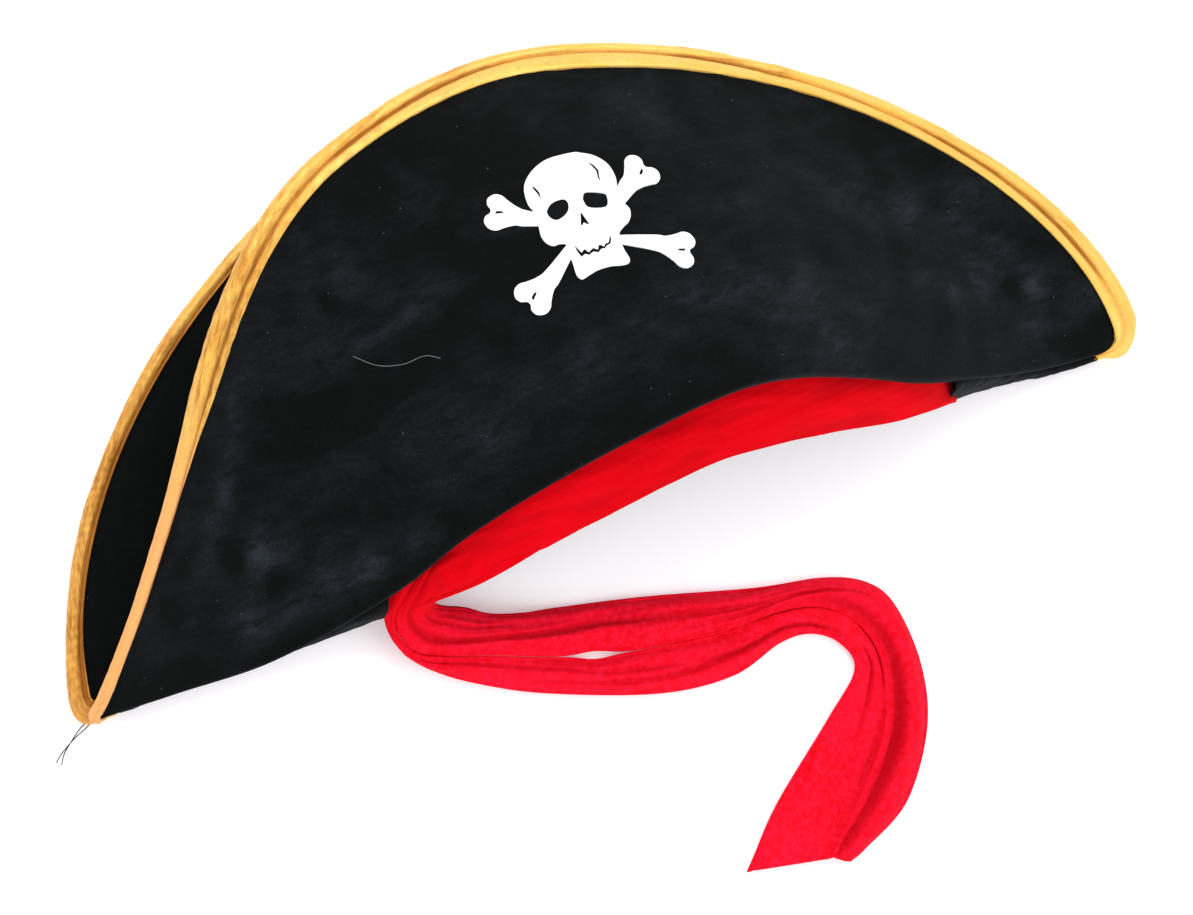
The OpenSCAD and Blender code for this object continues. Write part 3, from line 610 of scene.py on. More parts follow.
# ---------------------------------------------------------------- gold binding
def edge_path(left_corner, right_corner, count=1100):
    """The cloth's flat edge from tip to tip with its corners rounded: its points, the inward
    directions, the share of its corner that each point is past, and its angle on the outline."""
    a = np.linspace(-89.9, 89.9, count)
    p = outline(a)
    corner_top = np.where(p[:, 0] < 0, sum(left_corner[1:]), sum(right_corner[1:]))
    keep = p[:, 1] > corner_top
    p, a = p[keep], a[keep]
    q = np.radians(np.linspace(0, 88, 60))[1:]
    bend = pairs(1 - np.cos(q) ** (2 / CORNER_POWER), np.sin(q) ** (2 / CORNER_POWER))
    left = p[0] + bend * [left_corner[0], -left_corner[1]]
    right = p[-1] - bend * right_corner[:2]
    path = np.concatenate([left[::-1], p, right])
    turned = np.concatenate([q[::-1], 0 * a, q]) / q[-1]
    angle = np.concatenate([np.full(len(q), a[0]), a, np.full(len(q), a[-1])])
    # The outline bends sharply at its very top, so the direction there is taken over 24 mm.
    run = arc_length(path)
    wide = unit(pairs(*[np.interp(run + 12, run, c) - np.interp(run - 12, run, c) for c in path.T]))
    at_top = bump(angle, 0, 9)[:, None]
    t = unit(unit(np.gradient(path, axis=0)) * (1 - at_top) + wide * at_top)
    return path, pairs(t[:, 1], -t[:, 0]), turned, angle


def binding_section(p, top_wing, low_wing):
    """The binding's section by p from 0 to 1, from the top wing's inner edge over the padded roll to
    the lower wing's: the outward place and the height, at each station's width of top wing."""
    wing = [[1.0, 1.9], [1.012, 2.5], [0.9, 2.95], [0.6, 3.05], [0.3, 3.0], [0.06, 2.85]]
    crease = [[-0.95, 2.55], [-0.6, 2.35], [-0.1, 2.5], [0.5, 2.9], [1.3, 3.2], [2.1, 3.28]]
    arc = [[2.2 + 3.2 * sin(r), 3.25 * cos(r)] for r in np.radians([14, 30, 46, 62, 77, 90])]

    def half(width):
        return [[-1.2 - (width - 1.2) * f, h] for f, h in wing] + crease + arc

    low = [[s, -h] for s, h in half(low_wing)[-2::-1]]
    narrow, wide = np.array(half(1.2) + low), np.array(half(2.2) + low)
    u = p * (len(narrow) - 1)
    a, b = along(narrow, u)[None], along(wide, u)[None]
    s = a[..., 0] + (top_wing[:, None] - 1.2) * (b - a)[..., 0]
    return s, a[..., 1] + 0 * s


def binding(name, point, corners, top_wing, low_wing, fat, pale, darker_tone, corner_size, seed, floor=None):
    """Gold tape round a flap's edge. top_wing, fat, pale and darker_tone are functions of the angle on
    the outline: the top wing's width, the roll's size, and the looks. floor is the lowest height."""
    path, inward, turned, a = edge_path(*corners)
    e = point(path)
    t = unit(np.gradient(e, axis=0))
    up = unit(np.cross(t, unit(e - point(path + 4 * inward))))
    out = unit(np.cross(up, t))
    dist = arc_length(e)[:, None]
    p = np.linspace(0, 1, 72)
    wing = 1.25 + (top_wing(a) - 1.25) * (1 - ramp(turned, 0.2, 1))
    s, h = binding_section(p, wing, low_wing)
    where = pairs(dist, 60 * p[None])
    size = (fat(a) * corner_size(a, turned) * (1 + 0.03 * waves(dist, 80, seed)))[:, None]
    on_roll = ramp(s, -1.2, 0.8)
    in_crease = np.exp(-((s + 0.55) / 0.8) ** 2)
    streaks = waves(where * [0.22, 1], 6, seed + 2)
    pucker = waves(where, 5.5, seed + 3)
    creased_here = ramp(waves(dist, 90, seed + 5), -0.7, 0.9)[:, None]
    swell = 0.05 * streaks + 0.05 * pucker * (0.4 + creased_here)
    s = np.where(s > -1.0, -1.0 + (s + 1.0) * size, s)
    h = h * (1 + (size - 1) * 0.65)
    h = h + np.sign(h) * (swell - in_crease * (0.25 + 0.35 * creased_here))
    # A wide top wing stands a little higher, to stay above the velour's dents.
    h = h + 0.5 * ramp(-s, 2, 5) * (h > 0)
    s = s + on_roll * swell * np.clip((s - 2) / 2, 0, 1)
    # The wings lie on the flap as it curves, and the roll stands out beyond its edge.
    on_flap = point(path[:, None] - inward[:, None] * np.minimum(s, 0)[..., None])
    beyond = np.maximum(s, 0)
    thinner = beyond - 0.5 * on_roll * np.clip((s - 1) / 3, 0, 1)
    lower = h - 0.55 * np.sign(h) * np.clip(np.abs(h), 0, 1)
    surface = on_flap + beyond[..., None] * out[:, None] + h[..., None] * up[:, None]
    inner = on_flap + thinner[..., None] * out[:, None] + lower[..., None] * up[:, None]
    if floor is not None:
        surface[..., 2] = np.maximum(surface[..., 2], floor)
        inner[..., 2] = np.maximum(inner[..., 2], floor + 0.5)
    fades = 1 - ramp(a, 70, 80)[:, None] * 0.8
    # Painted shade in the binding's crease and on parts of its roll, plus a darker tone along parts of the
    # tape.
    crease_shade_and_tone = (in_crease * (0.45 + 0.5 * creased_here) * fades
            + 0.3 * on_roll * ramp(streaks, 0.2, 1.5) * creased_here)
    # Parts of the tape are darker and browner by their angle on the outline.
    crease_shade_and_tone = np.where(h > 0, crease_shade_and_tone, 0.3 * crease_shade_and_tone) + darker_tone(a)[:, None] * (1 + 0.2 * pucker)
    extra = {"crease_shade_and_tone": crease_shade_and_tone, "pale": pale(a)[:, None] + 0 * s,
             "run": where[..., 0] / 1000, "over": where[..., 1] / 1000}
    return shell(name, surface, inner, GOLD, extra, sharp=60)


def front_point(f):
    return flap_point(f[..., 0], f[..., 1])


def back_point(f):
    return pairs(f[..., 0], f[..., 1], HALF_T)


front_gold = binding(
    "front_gold_binding", front_point, FRONT_CORNERS,
    top_wing=lambda a: 1.25 + 3.2 * ramp(a, -67, -52) + 3.9 * bump(a, 10, 24), low_wing=2.0,
    fat=lambda a: (0.52 + 0.45 * ramp(a, -70, -56) + 0.14 * (1 - ramp(a, -89, -80))
                   + 0.1 * bump(a, 20, 14) + 0.13 * ramp(a, 72, 86)),
    pale=lambda a: 0.95 - 0.95 * ramp(a, -72, -52),
    darker_tone=lambda a: 0.30 * bump(a, -44, 22) + 0.10 * bump(a, 0, 40),
    corner_size=lambda a, turned: 1 - 0.7 * ramp(turned, 0.5, 1) * (a > 0), seed=31)
back_gold = binding(
    "back_gold_binding", back_point, BACK_CORNERS,
    top_wing=lambda a: 1.25 + 0.9 * (1 - ramp(a, -88, -72)), low_wing=4.4,
    fat=lambda a: 0.86 + 0.12 * (1 - ramp(a, -88, -76)), pale=lambda a: 0.1 + 0 * a,
    darker_tone=lambda a: 0.42 * (1 - ramp(a, -60, -20)),
    corner_size=lambda a, turned: 1 + 0.22 * bump(turned, 0.35, 0.25) - 0.25 * ramp(turned, 0.7, 1),
    seed=51, floor=0.03)


# ---------------------------------------------------------------- back flap
def back_grid(n_ribs, n_cells, inset, reach):
    a = np.linspace(-reach, reach, n_ribs)
    e = flat_edge(a, np.full(n_ribs, inset))
    low = np.minimum(smooth_table(BACK_FOOT, e[:, 0]) - 0.5, e[:, 1] - 0.4)[:, None]
    y = low + (e[:, 1:] - low) * np.linspace(0, 1, n_cells)
    return np.repeat(e[:, :1], n_cells, axis=1), y, e[:, 1:] - y


bx, by, b_edge = back_grid(240, 90, CLOTH_INSET + 0.1, CLOTH_REACH - 0.2)
flat_xy = pairs(bx, by)
pinch = 0.9 * (1 - ramp(b_edge, 0.5, 7))
uneven = (0.25 * waves(flat_xy, 55, 61) + 0.12 * waves(flat_xy, 20, 62)) * ramp(b_edge, 0, 14)
upper = pairs(bx, by, 2 * HALF_T - pinch + uneven)
back_lining = shell("back_lining", upper, upper - [0, 0, 0.7], VELOUR_SHADED)
lower = pairs(bx, by, 0.02 + pinch * 0.6 + 0.22 * ramp(waves(flat_xy, 46, 63), 0.2, 1.4))
roll_r = 2.0
roll_back = [pairs(bx[:, 0], by[:, 0] - roll_r * sin(r), HALF_T - roll_r * cos(r))
             for r in np.linspace(pi, 0, 9)[:-1]]
back_all = np.concatenate([np.stack(roll_back, 1), lower], axis=1)[:, ::-1]
back_velour = shell("back_velour", back_all, back_all - normals(back_all) * 0.7, VELOUR_SHADED)


# ---------------------------------------------------------------- crown
def crown_grid(w_from, w_to, rows, k_from, k_to, cols):
    """Angles, depths, points and normals of a grid on the crown's outside."""
    w = np.linspace(w_from, w_to, rows)[:, None]
    k = np.linspace(k_from, k_to, cols)[None]
    g = crown_point(k + 0 * w, w + 0 * k)
    return w, k, g, normals(g)


def crown_sheet(name, w_from, w_to, rows, cols, sit, thick, material, k_from=0.01, k_to=1.0, seed=71,
                dents_mm=0.8):
    """Cloth at the height sit over the crown's outside, gathered towards the tip."""
    w, k, g, n = crown_grid(w_from, w_to, rows, k_from, k_to, cols)
    fade = ramp(k, 0.2, 0.45) * (0.5 + 0.5 * ramp(k, 0.6, 1.0))
    gather = dents_mm * waves(pairs(w * 1.7, 60 * k), 34, seed) * fade
    outer = g + n * (sit + gather)[..., None]
    return shell(name, outer, outer - n * thick, material)


crown_front = crown_sheet("crown_front_cloth", 179.2, 0.8, 200, 70, 0.0, 1.0, VELOUR_SHADED, 0.005)
crown_back = crown_sheet("crown_back_cloth", -1, -179, 160, 70, -0.1, 1.0, VELOUR_SHADED, 0.005, seed=72,
                         dents_mm=0.3)
inside_front = crown_sheet("crown_lining_front", 178.6, 1.4, 140, 50, -1.6, 0.6, LINING, 0.012, 0.985)
inside_back = crown_sheet("crown_lining_back", -2, -178, 110, 50, -1.7, 0.6, LINING, 0.012, 0.985, 72, 0.3)


def tip_cap():
    w = np.linspace(180, -180, 121)[:-1]
    ring = crown_point(np.full(w.shape, 1.0), w)
    middle = ring.mean(0)
    share = np.linspace(0, 1, 14)[None]
    g = middle + (ring - middle)[:, None] * share[..., None] ** 0.8
    dents = 0.5 * waves(g[..., ::2], 22, 75) * (1 - share ** 4)
    g[..., 1] = CROWN_DEPTH + 1.6 * (1 - share ** 2) + dents
    g = np.concatenate([g, g[:1]], axis=0)[:, ::-1]
    return shell("crown_tip_cloth", g + [0, 0.5, 0], g - [0, 0.5, 0], VELOUR_SHADED)


crown_tip = tip_cap()


def sweatband_ring():
    w = np.linspace(180, -180, 241)[:, None]
    k = np.linspace(0.0, 0.21, 26)[None]
    g = crown_point(k + 0 * w, np.where(w == -180, 180.0, w) + 0 * k)
    n = normals(g)
    wrinkle = 0.25 * 0.35 * waves(pairs(w * 2, 150 * k), 16, 81)
    stitch_row = 0.35 * np.exp(-((k - 0.19) / 0.006) ** 2)
    outer = g - n * (2.4 + wrinkle + stitch_row)[..., None]
    return shell("sweatband_tape", outer, outer - n * 1.0, TAPE)


sweatband = sweatband_ring()


# ---------------------------------------------------------------- side seams
def side_roll(name, x_from, x_to, seed):
    """Where the two flaps are one piece of cloth, folded round the side of the hat."""
    x = np.linspace(x_from, x_to, 90)[:, None]
    b = np.radians(np.linspace(-90, 90, 26))[None]
    top_z, low_z = foot_z(x) - 0.4, 0.6
    half = (top_z - low_z) / 2
    depth = np.minimum(4.8, 1.2 + half * 0.8)
    y = smooth_table(BACK_FOOT, x) - 0.6 - depth * np.clip(np.cos(b), 0, 1) ** 0.8
    z = (top_z + low_z) / 2 + half * np.sin(b)
    g = pairs(x, y, z)
    n = normals(g)
    ripple = 0.15 * waves(pairs(x, 3 * z), 34, seed) + 0.12 * waves(pairs(x, z), 8, seed + 1)
    outer = g + n * ripple[..., None]
    return shell(name, outer, outer - n * 0.9, VELOUR_SHADED)


left_seam = side_roll("left_side_fold", -221, -116, 85)
right_seam = side_roll("right_side_fold", 135, 219, 87)


# ---------------------------------------------------------------- sash band
def sash_band():
    """The folded strip over the front of the opening, with its rolled lower edge and a tucked
    underside."""
    rows, cols, tucked, rolled = 260, 60, 12, 10
    w, k, g, n = crown_grid(174, 5.5, rows, -0.012, 0.22, cols)
    across = g[..., :2] * [0.25, 1.0]
    fold = 0.45 * waves(across, 12, 91) + 0.25 * waves(across * [1, 1.5], 6, 92)
    ends = ramp(w, 5, 30) * ramp(180 - w, 5, 30)
    puff = np.sin(np.pi * np.clip((k + 0.012) / 0.2, 0, 1)) ** 0.8
    sit = 1.9 + puff * (0.45 + 0.55 * ends) + fold * 0.55
    top_side = g + n * sit[..., None]
    q = np.linspace(0, np.pi, rolled + 2)[None, 1:-1, None]
    half = 1.35
    low = g[:, :1] + n[:, :1] * (sit[:, :1] - half)[..., None]
    rim = low + n[:, :1] * half * np.cos(q) + unit(g[:, :1] - g[:, 3:4]) * 1.5 * np.sin(q)
    under = g[:, :tucked] + n[:, :tucked] * 0.35
    surface = np.concatenate([under[:, ::-1], rim[:, ::-1], top_side], axis=1)
    # Painted shade: the rolled edge a little darker and the valleys of the folds darker still; none on the
    # tucked underside.
    shade = np.concatenate([np.zeros((rows, tucked)), np.full((rows, rolled), 0.1),
                            0.35 * ramp(-fold / 0.6, 0.2, 1.4)], axis=1)
    return shell("sash_band_cloth", surface, surface - normals(surface) * 0.8, RED,
                 {"fold": shade, "slack": 0 * shade})


band = sash_band()


# ---------------------------------------------------------------- sash tails
def on_band(w, k, sink=0.0):
    """Point just over the sash band's outside at the crown angle w and depth k."""
    g = crown_point(np.array([k, k + 0.01, k]), np.array([w, w, w - 1.0]))
    n = unit(np.cross(g[2] - g[0], g[1] - g[0]))
    n = n if n[2] > 0 else -n
    return list(g[0] + n * (2.6 - sink))


def laid(line, height):
    return [[x, y, height] for x, y in line]


def crease_depth(creases, u, s):
    """Depth of the valleys across a strip: each runs at a share of the width over the stations."""
    total = 0
    for stations, shares, depths, width in creases:
        at = np.interp(u, stations, shares)[:, None]
        deep = np.interp(u, stations, depths)[:, None]
        total = total + deep * np.exp(-(((s[None] - at) / width) ** 2))
    return total


def arc(at, out, up, q, radius):
    """Points round each point of a path, by the angles q from up towards out."""
    q = q[None, :, None]
    return at[:, None] + (out[:, None] * np.sin(q) + up[:, None] * np.cos(q)) * radius[..., None]


def tail(name, edge_a, edge_b, rise, creases, seed, split=0.0, lap=0.0, count=420):
    """A strip of cloth folded double, from the band's end round the turn and along the table. It
    has an underside, a rolled fold along edge a, a creased top, and a rolled edge b. rise is the
    top's height at some stations, split how far the gap between the tails is open on this side,
    and lap how far edge b lies over its neighbour near the end."""
    u = np.linspace(0, len(edge_a) - 1, count)
    a, b = along(edge_a, u), along(edge_b, u)
    c = unit(b - a)
    opening = bump(u, 11.45, 0.27)[:, None]
    lapped = lap * ramp(u, 12.3, 14)
    a = a + c * max(split, 0) * opening
    b = b + c * (min(split, 0) * opening + lapped[:, None])
    b[:, 2] += 0.8 * lapped
    r = np.interp(u, [0, 3, 8, 12, count], [1.5, 1.6, 2.0, 1.6, 1.5])[:, None]
    a, b = a + c * r, b - c * r * 0.8
    width = np.linalg.norm(b - a, axis=1)
    middle = (a + b) / 2
    n = unit(np.cross(c, unit(np.gradient(middle, axis=0))))
    s = np.linspace(0, 1, 60)
    grid = a[:, None] + (b - a)[:, None] * s[None, :, None]
    height = np.interp(u, rise[0], rise[1])[:, None] * np.minimum(1, width / 12)[:, None]
    deep = crease_depth(creases, u, s)
    hump = np.sin(np.pi * s)[None]
    lift = r + height * hump ** 0.75 - deep * hump ** 0.35
    where = pairs(arc_length(middle)[:, None] * 0.16, s[None] * width[:, None])
    lift = lift + 0.42 * waves(where, 7.5, seed) + 0.2 * waves(grid, 9, seed + 1)
    top_side = grid + n[:, None] * np.maximum(lift, 0.25 * r)[..., None]
    q = np.linspace(0, np.pi, 12)[1:-1]
    fold = arc(a, -c, n, q, r)
    edge = arc(b, c, n, q[:7], 0.8 * r)
    s_low = np.linspace(0.02, 0.9, 24)
    low = a[:, None] + (b - a)[:, None] * s_low[None, :, None] - n[:, None] * (r * 0.95)[..., None]
    surface = np.concatenate([low[:, ::-1], fold[:, ::-1], top_side, edge], axis=1)
    # Painted shade in the crease valleys of the top.
    dark = np.concatenate([np.zeros((count, 34)), 0.2 * deep, np.zeros((count, 7))], 1)
    surface[..., 2] = np.maximum(surface[..., 2], 0.25)
    surface, dark = surface[::-1], dark[::-1]
    inner = surface - normals(surface) * 0.7
    inner[..., 2] = np.maximum(inner[..., 2], 0.7)
    slack = ramp(u, 3, 9)[::-1, None] + 0 * dark
    return shell(name, surface, inner, RED, {"fold": dark, "slack": slack}, sharp=60)


band_rows = [(139, 3.2), (144, 2.4), (148.5, 1.4), (152.5, 0.4)]
top_edge = [on_band(w, -0.012, sink) for w, sink in band_rows] + TURN_TOP + laid(TAIL_TOP, 1.9)
middle_edge = [on_band(w + 4, 0.1, sink) for w, sink in band_rows] + TURN_MIDDLE + laid(TAIL_MIDDLE, 2.0)
low_edge = [on_band(w + 9, 0.2, sink) for w, sink in band_rows] + TURN_LOW + laid(TAIL_LOW, 1.9)
# Creases are rows of stations, shares of the width, depths, and one half width.
outer_tail = tail("sash_outer_tail_cloth", top_edge, np.array(middle_edge) + [0, 0, 0.5],
                  ([0, 2, 4, 7, 10, 12, 15, 18, 20, 21],
                   [0.3, 0.8, 1.8, 3.0, 3.6, 3.8, 4.6, 5.0, 3.4, 1.5]),
                  [([2, 5, 8, 10, 12, 14, 16], [0.9, 0.76, 0.74, 0.58, 0.40, 0.5, 0.55],
                    [0, 2.0, 2.8, 2.9, 2.5, 1.2, 0], 0.09),
                   ([5, 7, 9, 10], [0.3, 0.34, 0.3, 0.25], [0, 1.5, 1.7, 0], 0.06),
                   ([12, 13, 15, 16], [0.75, 0.7, 0.4, 0.3], [0, 1.6, 1.6, 0], 0.08),
                   ([13, 15, 17, 18, 20, 21], [0.95, 0.86, 0.78, 0.76, 0.8, 0.85],
                    [0, 2.2, 3.8, 4.4, 3.6, 1.5], 0.17)], 101, split=-1.5, lap=2.2)
inner_tail = tail("sash_inner_tail_cloth", middle_edge, low_edge,
                  ([0, 2, 5, 9, 12, 15, 17, 18, 19, 21],
                   [0.2, 0.6, 1.6, 3.0, 3.8, 4.2, 3.4, 2.0, 1.2, 0.5]),
                  [([4, 7, 10, 12, 14, 15], [0.2, 0.15, 0.2, 0.4, 0.6, 0.7],
                    [0, 1.6, 1.8, 1.2, 0.6, 0], 0.09),
                   ([10, 12, 13, 14, 15, 16], [0.8, 0.72, 0.55, 0.6, 0.8, 0.85],
                    [0, 2.2, 2.4, 2.0, 2.8, 0], 0.09),
                   ([16, 17, 18, 19], [0.66, 0.55, 0.46, 0.40], [0, 2.4, 2.2, 0], 0.07),
                   ([15, 16, 18, 20, 21], [0.0, 0.03, 0.05, 0.08, 0.1], [0, 1.2, 1.6, 1.0, 0.3], 0.10)],
                  111, split=1.5)


# ---------------------------------------------------------------- skull print
SKULL_OUTLINE = [[6.3, 27], [9.7, 25.9], [13.8, 23.6], [17.1, 19.1], [17.6, 13.2], [16.1, 8],
                 [15.9, 3.5], [16.5, 1.4], [17.2, -0.6], [16.3, -3.4], [14.5, -5.5], [11.8, -7],
                 [9.4, -9.3], [8.9, -15], [9.5, -19.3], [7.6, -20.9], [1.7, -20.1], [-3.3, -20.3],
                 [-7.4, -21.4], [-9.9, -22], [-11.2, -20.1], [-11, -15.8], [-10.9, -12],
                 [-10.5, -8.1], [-12.7, -7], [-15.4, -7], [-17.4, -5.2], [-18.2, -2.4],
                 [-17.8, 0.8], [-17.2, 3.7], [-17.1, 7.1], [-18.2, 11.2], [-17.4, 16.9],
                 [-14.9, 20.8], [-10, 24.5], [-3.2, 26.9]]
LEFT_EYE = [[-12.5, 6.7], [-9.4, 9.2], [-5, 9.6], [-3.8, 7.7], [-5, 4.7], [-7.8, 2.8], [-10.7, 2.3],
            [-12.5, 4.1]]
RIGHT_EYE = [[2.8, 8.6], [4.6, 10], [10.4, 8], [11.1, 6.2], [9.9, 3.1], [7.6, 2.5], [3.6, 3.7],
             [2.1, 5.8]]
NOSE = [[-0.7, 3.3], [0.6, -2.6], [-0.8, -2], [-1.2, -1.2], [-2.1, -2.2], [-2.8, -2.2]]
TEETH = [[-8, -8.4], [-7.2, -10.5], [-6.4, -12.3], [-5.3, -11.3], [-4.7, -11.4], [-3.9, -12.8],
         [-2.6, -12.1], [-1.7, -11.6], [-0.3, -12.8], [0.5, -11.2], [1.2, -11.1], [2.3, -12.2],
         [3.2, -11.2], [4.7, -11.1], [5.5, -9.7], [6.3, -7.8], [6, -10.1], [5.1, -11.8],
         [3.5, -12.1], [2.3, -13], [1, -12.8], [-0.5, -13.9], [-2.1, -13.1], [-4.2, -13.9],
         [-5.4, -13.1], [-7.1, -13.9], [-7.9, -11.2]]
LONG_CRACK = [[9.7, 22], [11.8, 20.4], [12.7, 17.6], [11.8, 15], [11.5, 11.7], [11.1, 14.7],
              [11.7, 17.4], [11, 19.6]]
SHORT_CRACK = [[-14.2, 17.9], [-13, 16.6], [-12.3, 14.4], [-12.8, 11.5], [-13.2, 14.1], [-14, 16.5]]
BONE_HALF = [[2.9, 0], [3, 22], [3.7, 27], [5.5, 30.8], [7.1, 33.4], [7, 36.2], [4.9, 38.3], [2.4, 38.2],
             [0.8, 36.8]]
BONE_TICK = [[0.3, 31.8], [-0.7, 35], [0.6, 34.6], [1, 32.4]]
BONE_TURNS = (-57, 123, 62, -117)
BONES_AT = (0, -5)
FILM_OVER, FILM_UNDER = 0.42, 0.25  # the film's faces over and under the velour's outside


def closed(pts, n=6):
    """Closed smooth outline through points."""
    pts = np.array(pts, float)
    loop = np.concatenate([pts[-1:], pts, pts[:2]])
    return along(loop, 1 + np.arange(len(pts) * n) / n)


def both_sides(half):
    """The half outline with its mirror image."""
    half = np.array(half, float)
    return np.concatenate([half, half[:0:-1] * [-1, 1]])


def moved(pts, degrees, by):
    c, s = cos(radians(degrees)), sin(radians(degrees))
    return np.asarray(pts, float) @ np.array([[c, s], [-s, c]]) + by


def outline_sd(x, y, pts):
    """Distance from a closed outline, below 0 inside it."""
    near, inside = np.full(x.shape, 1e9), np.zeros(x.shape, bool)
    for (ax, ay), (bx_, by_) in zip(pts, np.roll(pts, -1, axis=0)):
        dx, dy = bx_ - ax, by_ - ay
        t = np.clip(((x - ax) * dx + (y - ay) * dy) / max(dx * dx + dy * dy, 1e-9), 0, 1)
        near = np.minimum(near, np.hypot(x - ax - t * dx, y - ay - t * dy))
        if ay != by_:
            inside ^= ((ay > y) != (by_ > y)) & (x < ax + (y - ay) * dx / dy)
    return np.where(inside, -near, near)


def skull_sd(x, y):
    """Distance from the print's edge over its own flat axes, below 0 on the print."""
    solid = outline_sd(x, y, closed(SKULL_OUTLINE))
    cuts = [closed(LEFT_EYE), closed(RIGHT_EYE)]
    cuts += [np.array(c) for c in (NOSE, TEETH, LONG_CRACK, SHORT_CRACK)]
    bone = closed(both_sides(BONE_HALF))
    for degrees in BONE_TURNS:
        solid = np.minimum(solid, outline_sd(x, y, moved(bone, degrees, BONES_AT)))
        cuts.append(moved(BONE_TICK, degrees, BONES_AT))
    for cut in cuts:
        solid = np.maximum(solid, -outline_sd(x, y, cut))
    return solid


def marching(field, xs, ys):
    """Polygons of the inside (negative) part of a field on a grid, cut exactly at its edge."""
    points, index, faces = [], {}, []

    def vertex(key, p):
        if key not in index:
            index[key] = len(points)
            points.append(p)
        return index[key]

    inside = field < 0
    for i in range(len(xs) - 1):
        for j in range(len(ys) - 1):
            corners = [(i, j), (i + 1, j), (i + 1, j + 1), (i, j + 1)]
            marks = [inside[c] for c in corners]
            if not any(marks):
                continue
            face = []
            for m in range(4):
                a, b = corners[m], corners[(m + 1) % 4]
                if inside[a]:
                    face.append(vertex(a, (xs[a[0]], ys[a[1]])))
                if inside[a] != inside[b]:
                    t = field[a] / (field[a] - field[b])
                    t = min(max(t, 0.02), 0.98)
                    key = (min(a, b), max(a, b))
                    face.append(vertex(key, (xs[a[0]] + t * (xs[b[0]] - xs[a[0]]),
                                             ys[a[1]] + t * (ys[b[1]] - ys[a[1]]))))
            if len(face) >= 3:
                faces.append(face)
    return np.array(points), faces


def skull_film():
    step = 0.36
    xs, ys = np.arange(-38, 38.01, step), np.arange(-35, 28.01, step)
    flat, faces = marching(skull_sd(*np.meshgrid(xs, ys, indexing="ij")), xs, ys)
    x, y = moved(flat * [1, SKULL_STRETCH], SKULL_TURN, SKULL_AT).T
    p = flap_point(x, y)
    n = unit(np.cross(flap_point(x + 0.3, y) - flap_point(x - 0.3, y),
                      flap_point(x, y + 0.3) - flap_point(x, y - 0.3)))
    upper_p, lower_p = p + n * (HALF_T + FILM_OVER), p + n * (HALF_T - FILM_UNDER)
    count = len(flat)
    rim = {}
    for f in faces:
        for a, b in zip(f, f[1:] + f[:1]):
            if (b, a) in rim:
                del rim[(b, a)]
            else:
                rim[(a, b)] = True
    walls = [[b, a, a + count, b + count] for a, b in rim]
    under = [[v + count for v in reversed(f)] for f in faces]
    return poly_object("skull_film", np.concatenate([upper_p, lower_p]), faces + under + walls, FILM)


skull = skull_film()


# ---------------------------------------------------------------- threads
def stitched(name, points, radius, material, count, sides):
    """A thread along a smooth curve through points."""
    return tube(name, along(points, np.linspace(0, len(points) - 1, count)), radius, material, sides)


def tip_stitches(name, side):
    """Bar stitches that hold the two flaps together at a tip."""
    threads = []
    for i in range(4):
        x = side * (CLOTH_W - 5 - 1.0 * i)
        path = [[x, 1.2, 4.2], [x + 0.4, 0.1, 6.0], [x, 1.2, 8.2]]
        threads.append(stitched(f"{name}_tip_stitch_{i}", path, BAR_R, GOLD_THREAD, 12, 8))
    return threads


left_bars, right_bars = tip_stitches("left", -1), tip_stitches("right", 1)


def end_stitches():
    """Two rows of stitches that hold the sash to the crown at its right end."""
    threads = []
    for i, w in enumerate((8.0, 10.5)):
        for m in range(5):
            k = np.linspace(0.04, 0.062, 8) + 0.033 * m
            g = crown_point(k, np.full(8, w))
            beside = crown_point(k, np.full(8, w - 1.0))
            n = unit(np.cross(beside - g, np.gradient(g, axis=0)))
            n = np.where((n[:, 2] < 0)[:, None], -n, n)
            rise = 2.3 + 0.5 * np.sin(np.linspace(0, np.pi, 8))
            threads.append(tube(f"sash_end_stitch_{i}_{m}", g + n * rise[:, None], STITCH_R, RED_THREAD, 6))
    return threads


band_threads = end_stitches()
LOOSE_ENDS = ([[-226, 3, 3], [-230, 2, 1.6], [-234, -0.5, 0.8], [-240, -3, 0.6], [-246, -6.5, 0.5],
               [-249, -9, 0.5]],
              [[-229, 3, 2], [-236, 0.2, 0.6], [-241, -3.4, 0.5], [-245, -6.8, 0.5], [-247.5, -10.5, 0.5]])
loose_ends = [stitched(f"tip_thread_end_{i}", pts, LOOSE_R, TAPE, 40, 6)
              for i, pts in enumerate(LOOSE_ENDS)]
HAIR = [[-103, 93], [-95, 86.5], [-86, 83.5], [-78, 83.5], [-73, 80.5]]  # over the flat flap
hair_path = flap_point(*along(HAIR, np.linspace(0, 4, 50)).T) + [0, 0, HALF_T + 0.9]
hair = tube("pale_lint", hair_path, HAIR_R, LINT, 5)
TACK = [[-101, -12.4, 7.4], [-100, -13.2, 9.5], [-99, -12.6, 11.5]]
tack = stitched("sash_tack_thread", TACK, TACK_R, RED_THREAD, 10, 8)

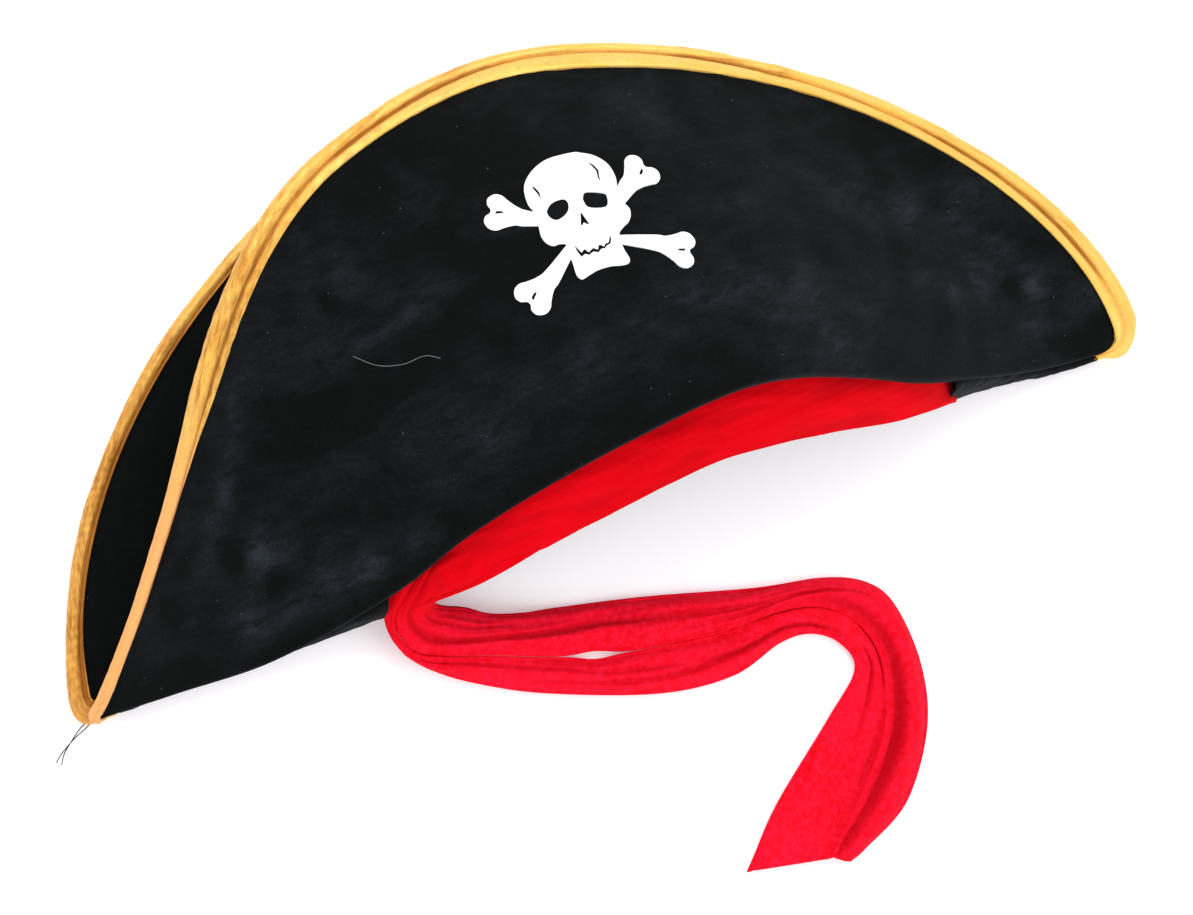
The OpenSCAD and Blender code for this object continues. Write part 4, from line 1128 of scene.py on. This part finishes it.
# ---------------------------------------------------------------- bodies, and the CAD parts that the cloth hides
piece_rows = [
    (velour, "front_brim", "velour", ["front_brim_velour", "front_brim_foam"]),
    (front_lining, "front_brim", "lining", ["front_brim_lining"]),
    (front_gold, "front_brim", "gold_lame", ["front_binding", "front_piping_cord"]),
    (skull, "front_brim", "print_film", ["skull_print"]),
    (back_velour, "hat", "velour", ["back_brim_velour", "back_brim_foam"]),
    (back_lining, "hat", "lining", ["back_brim_lining"]),
    (back_gold, "hat", "gold_lame", ["back_binding", "back_piping_cord"]),
    (crown_front, "hat", "velour", ["crown_front_panel"]),
    (crown_back, "hat", "velour", ["crown_back_panel"]),
    (crown_tip, "hat", "velour", ["crown_tip"]),
    (inside_front, "hat", "lining", ["crown_lining"]),
    (inside_back, "hat", "lining", []),
    (sweatband, "hat", "sweatband", ["sweatband"]),
    (left_seam, "hat", "velour", ["left_side_seam"]),
    (right_seam, "hat", "velour", ["right_side_seam"]),
    (band, "hat", "sash", ["sash_band"]),
    (tack, "hat", "red_thread", ["sash_tack"]),
    (hair, "front_brim", "velour", []),
]
piece_rows += [(thread, "hat", "velour", []) for thread in loose_ends]
for threads, slot, node in ((left_bars, "gold_thread", "left_tip_stitches"),
                            (right_bars, "gold_thread", "right_tip_stitches"),
                            (band_threads, "red_thread", "sash_end_stitches")):
    piece_rows.append((threads[0], "hat", slot, [node]))
    piece_rows += [(thread, "hat", slot, []) for thread in threads[1:]]
for obj, body, slot, nodes in piece_rows:
    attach(obj, body)
    if nodes:
        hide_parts(*nodes)

for obj, nodes in ((outer_tail, ("sash_outer_tail", "sash_turn")), (inner_tail, ("sash_inner_tail",))):
    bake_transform(obj)
    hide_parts(*nodes)


# ---------------------------------------------------------------- floor, light and camera
bpy.ops.mesh.primitive_plane_add(size=8, location=(0, 0, -OPEN_Z / 1000 - 0.0004))
floor = bpy.context.object
floor.name = "floor"
# A faint glow keeps the floor's shadows as light and cool as the photograph's.
floor.data.materials.append(Nodes("floor").finish(
    Base_Color=(0.93, 0.93, 0.935, 1), Roughness=0.7, Specular_IOR_Level=0.2,
    Emission_Color=(0.97, 0.90, 1.0, 1), Emission_Strength=0.23))


def area_light(name, at, target, size, power):
    data = bpy.data.lights.new(name, "AREA")
    data.shape, data.size, data.energy = "DISK", size, power
    obj = bpy.data.objects.new(name, data)
    bpy.context.scene.collection.objects.link(obj)
    obj.location = at
    obj.rotation_euler = (Vector(target) - Vector(at)).to_track_quat("-Z", "Y").to_euler()


area_light("key", (0.3, 1.1, 1.4), (0, 0.05, 0), 1.2, 15)
area_light("fill", (-1.3, -0.6, 1.3), (0, 0.05, 0), 1.6, 9)
area_light("front", (0.9, -1.2, 0.9), (0, 0, 0), 1.4, 7)
world = bpy.data.worlds.new("studio")
world.use_nodes = True
background = world.node_tree.nodes["Background"].inputs
background["Color"].default_value = (1, 1, 1, 1)
background["Strength"].default_value = 0.85
bpy.context.scene.world = world
bpy.context.scene.view_settings.view_transform = "Standard"

CAMERA_TILT, CAMERA_TURN, CAMERA_ROLL, CAMERA_FAR = 20.0, 5.0, 19.335, 1200.0
CAMERA_TARGET = np.array([-16.86, 29.05, 30.0])
SENSOR_W, LENS = 36.0, 92.97234


def point_camera(camera):
    """Put the camera at the photograph's angle: tilted from overhead, turned aside and rolled."""
    tilt, turn, roll = radians(CAMERA_TILT), radians(CAMERA_TURN), radians(CAMERA_ROLL)
    back = np.array([-sin(tilt) * cos(turn), -sin(turn), cos(tilt) * cos(turn)])
    level = unit(np.array([1.0, 0, 0]) - back * back[0])
    upward = np.cross(back, level)
    columns = [cos(roll) * level - sin(roll) * upward, sin(roll) * level + cos(roll) * upward, back,
               place(CAMERA_TARGET + CAMERA_FAR * back)]
    camera.matrix_world = Matrix([[column[i] for column in columns] for i in range(3)] + [[0, 0, 0, 1]])


camera_data = bpy.data.cameras.new("camera")
camera_data.sensor_width = SENSOR_W
camera_data.lens = LENS
camera_data.clip_start = 0.05
camera = bpy.data.objects.new("camera", camera_data)
bpy.context.scene.collection.objects.link(camera)
point_camera(camera)
bpy.context.scene.camera = camera
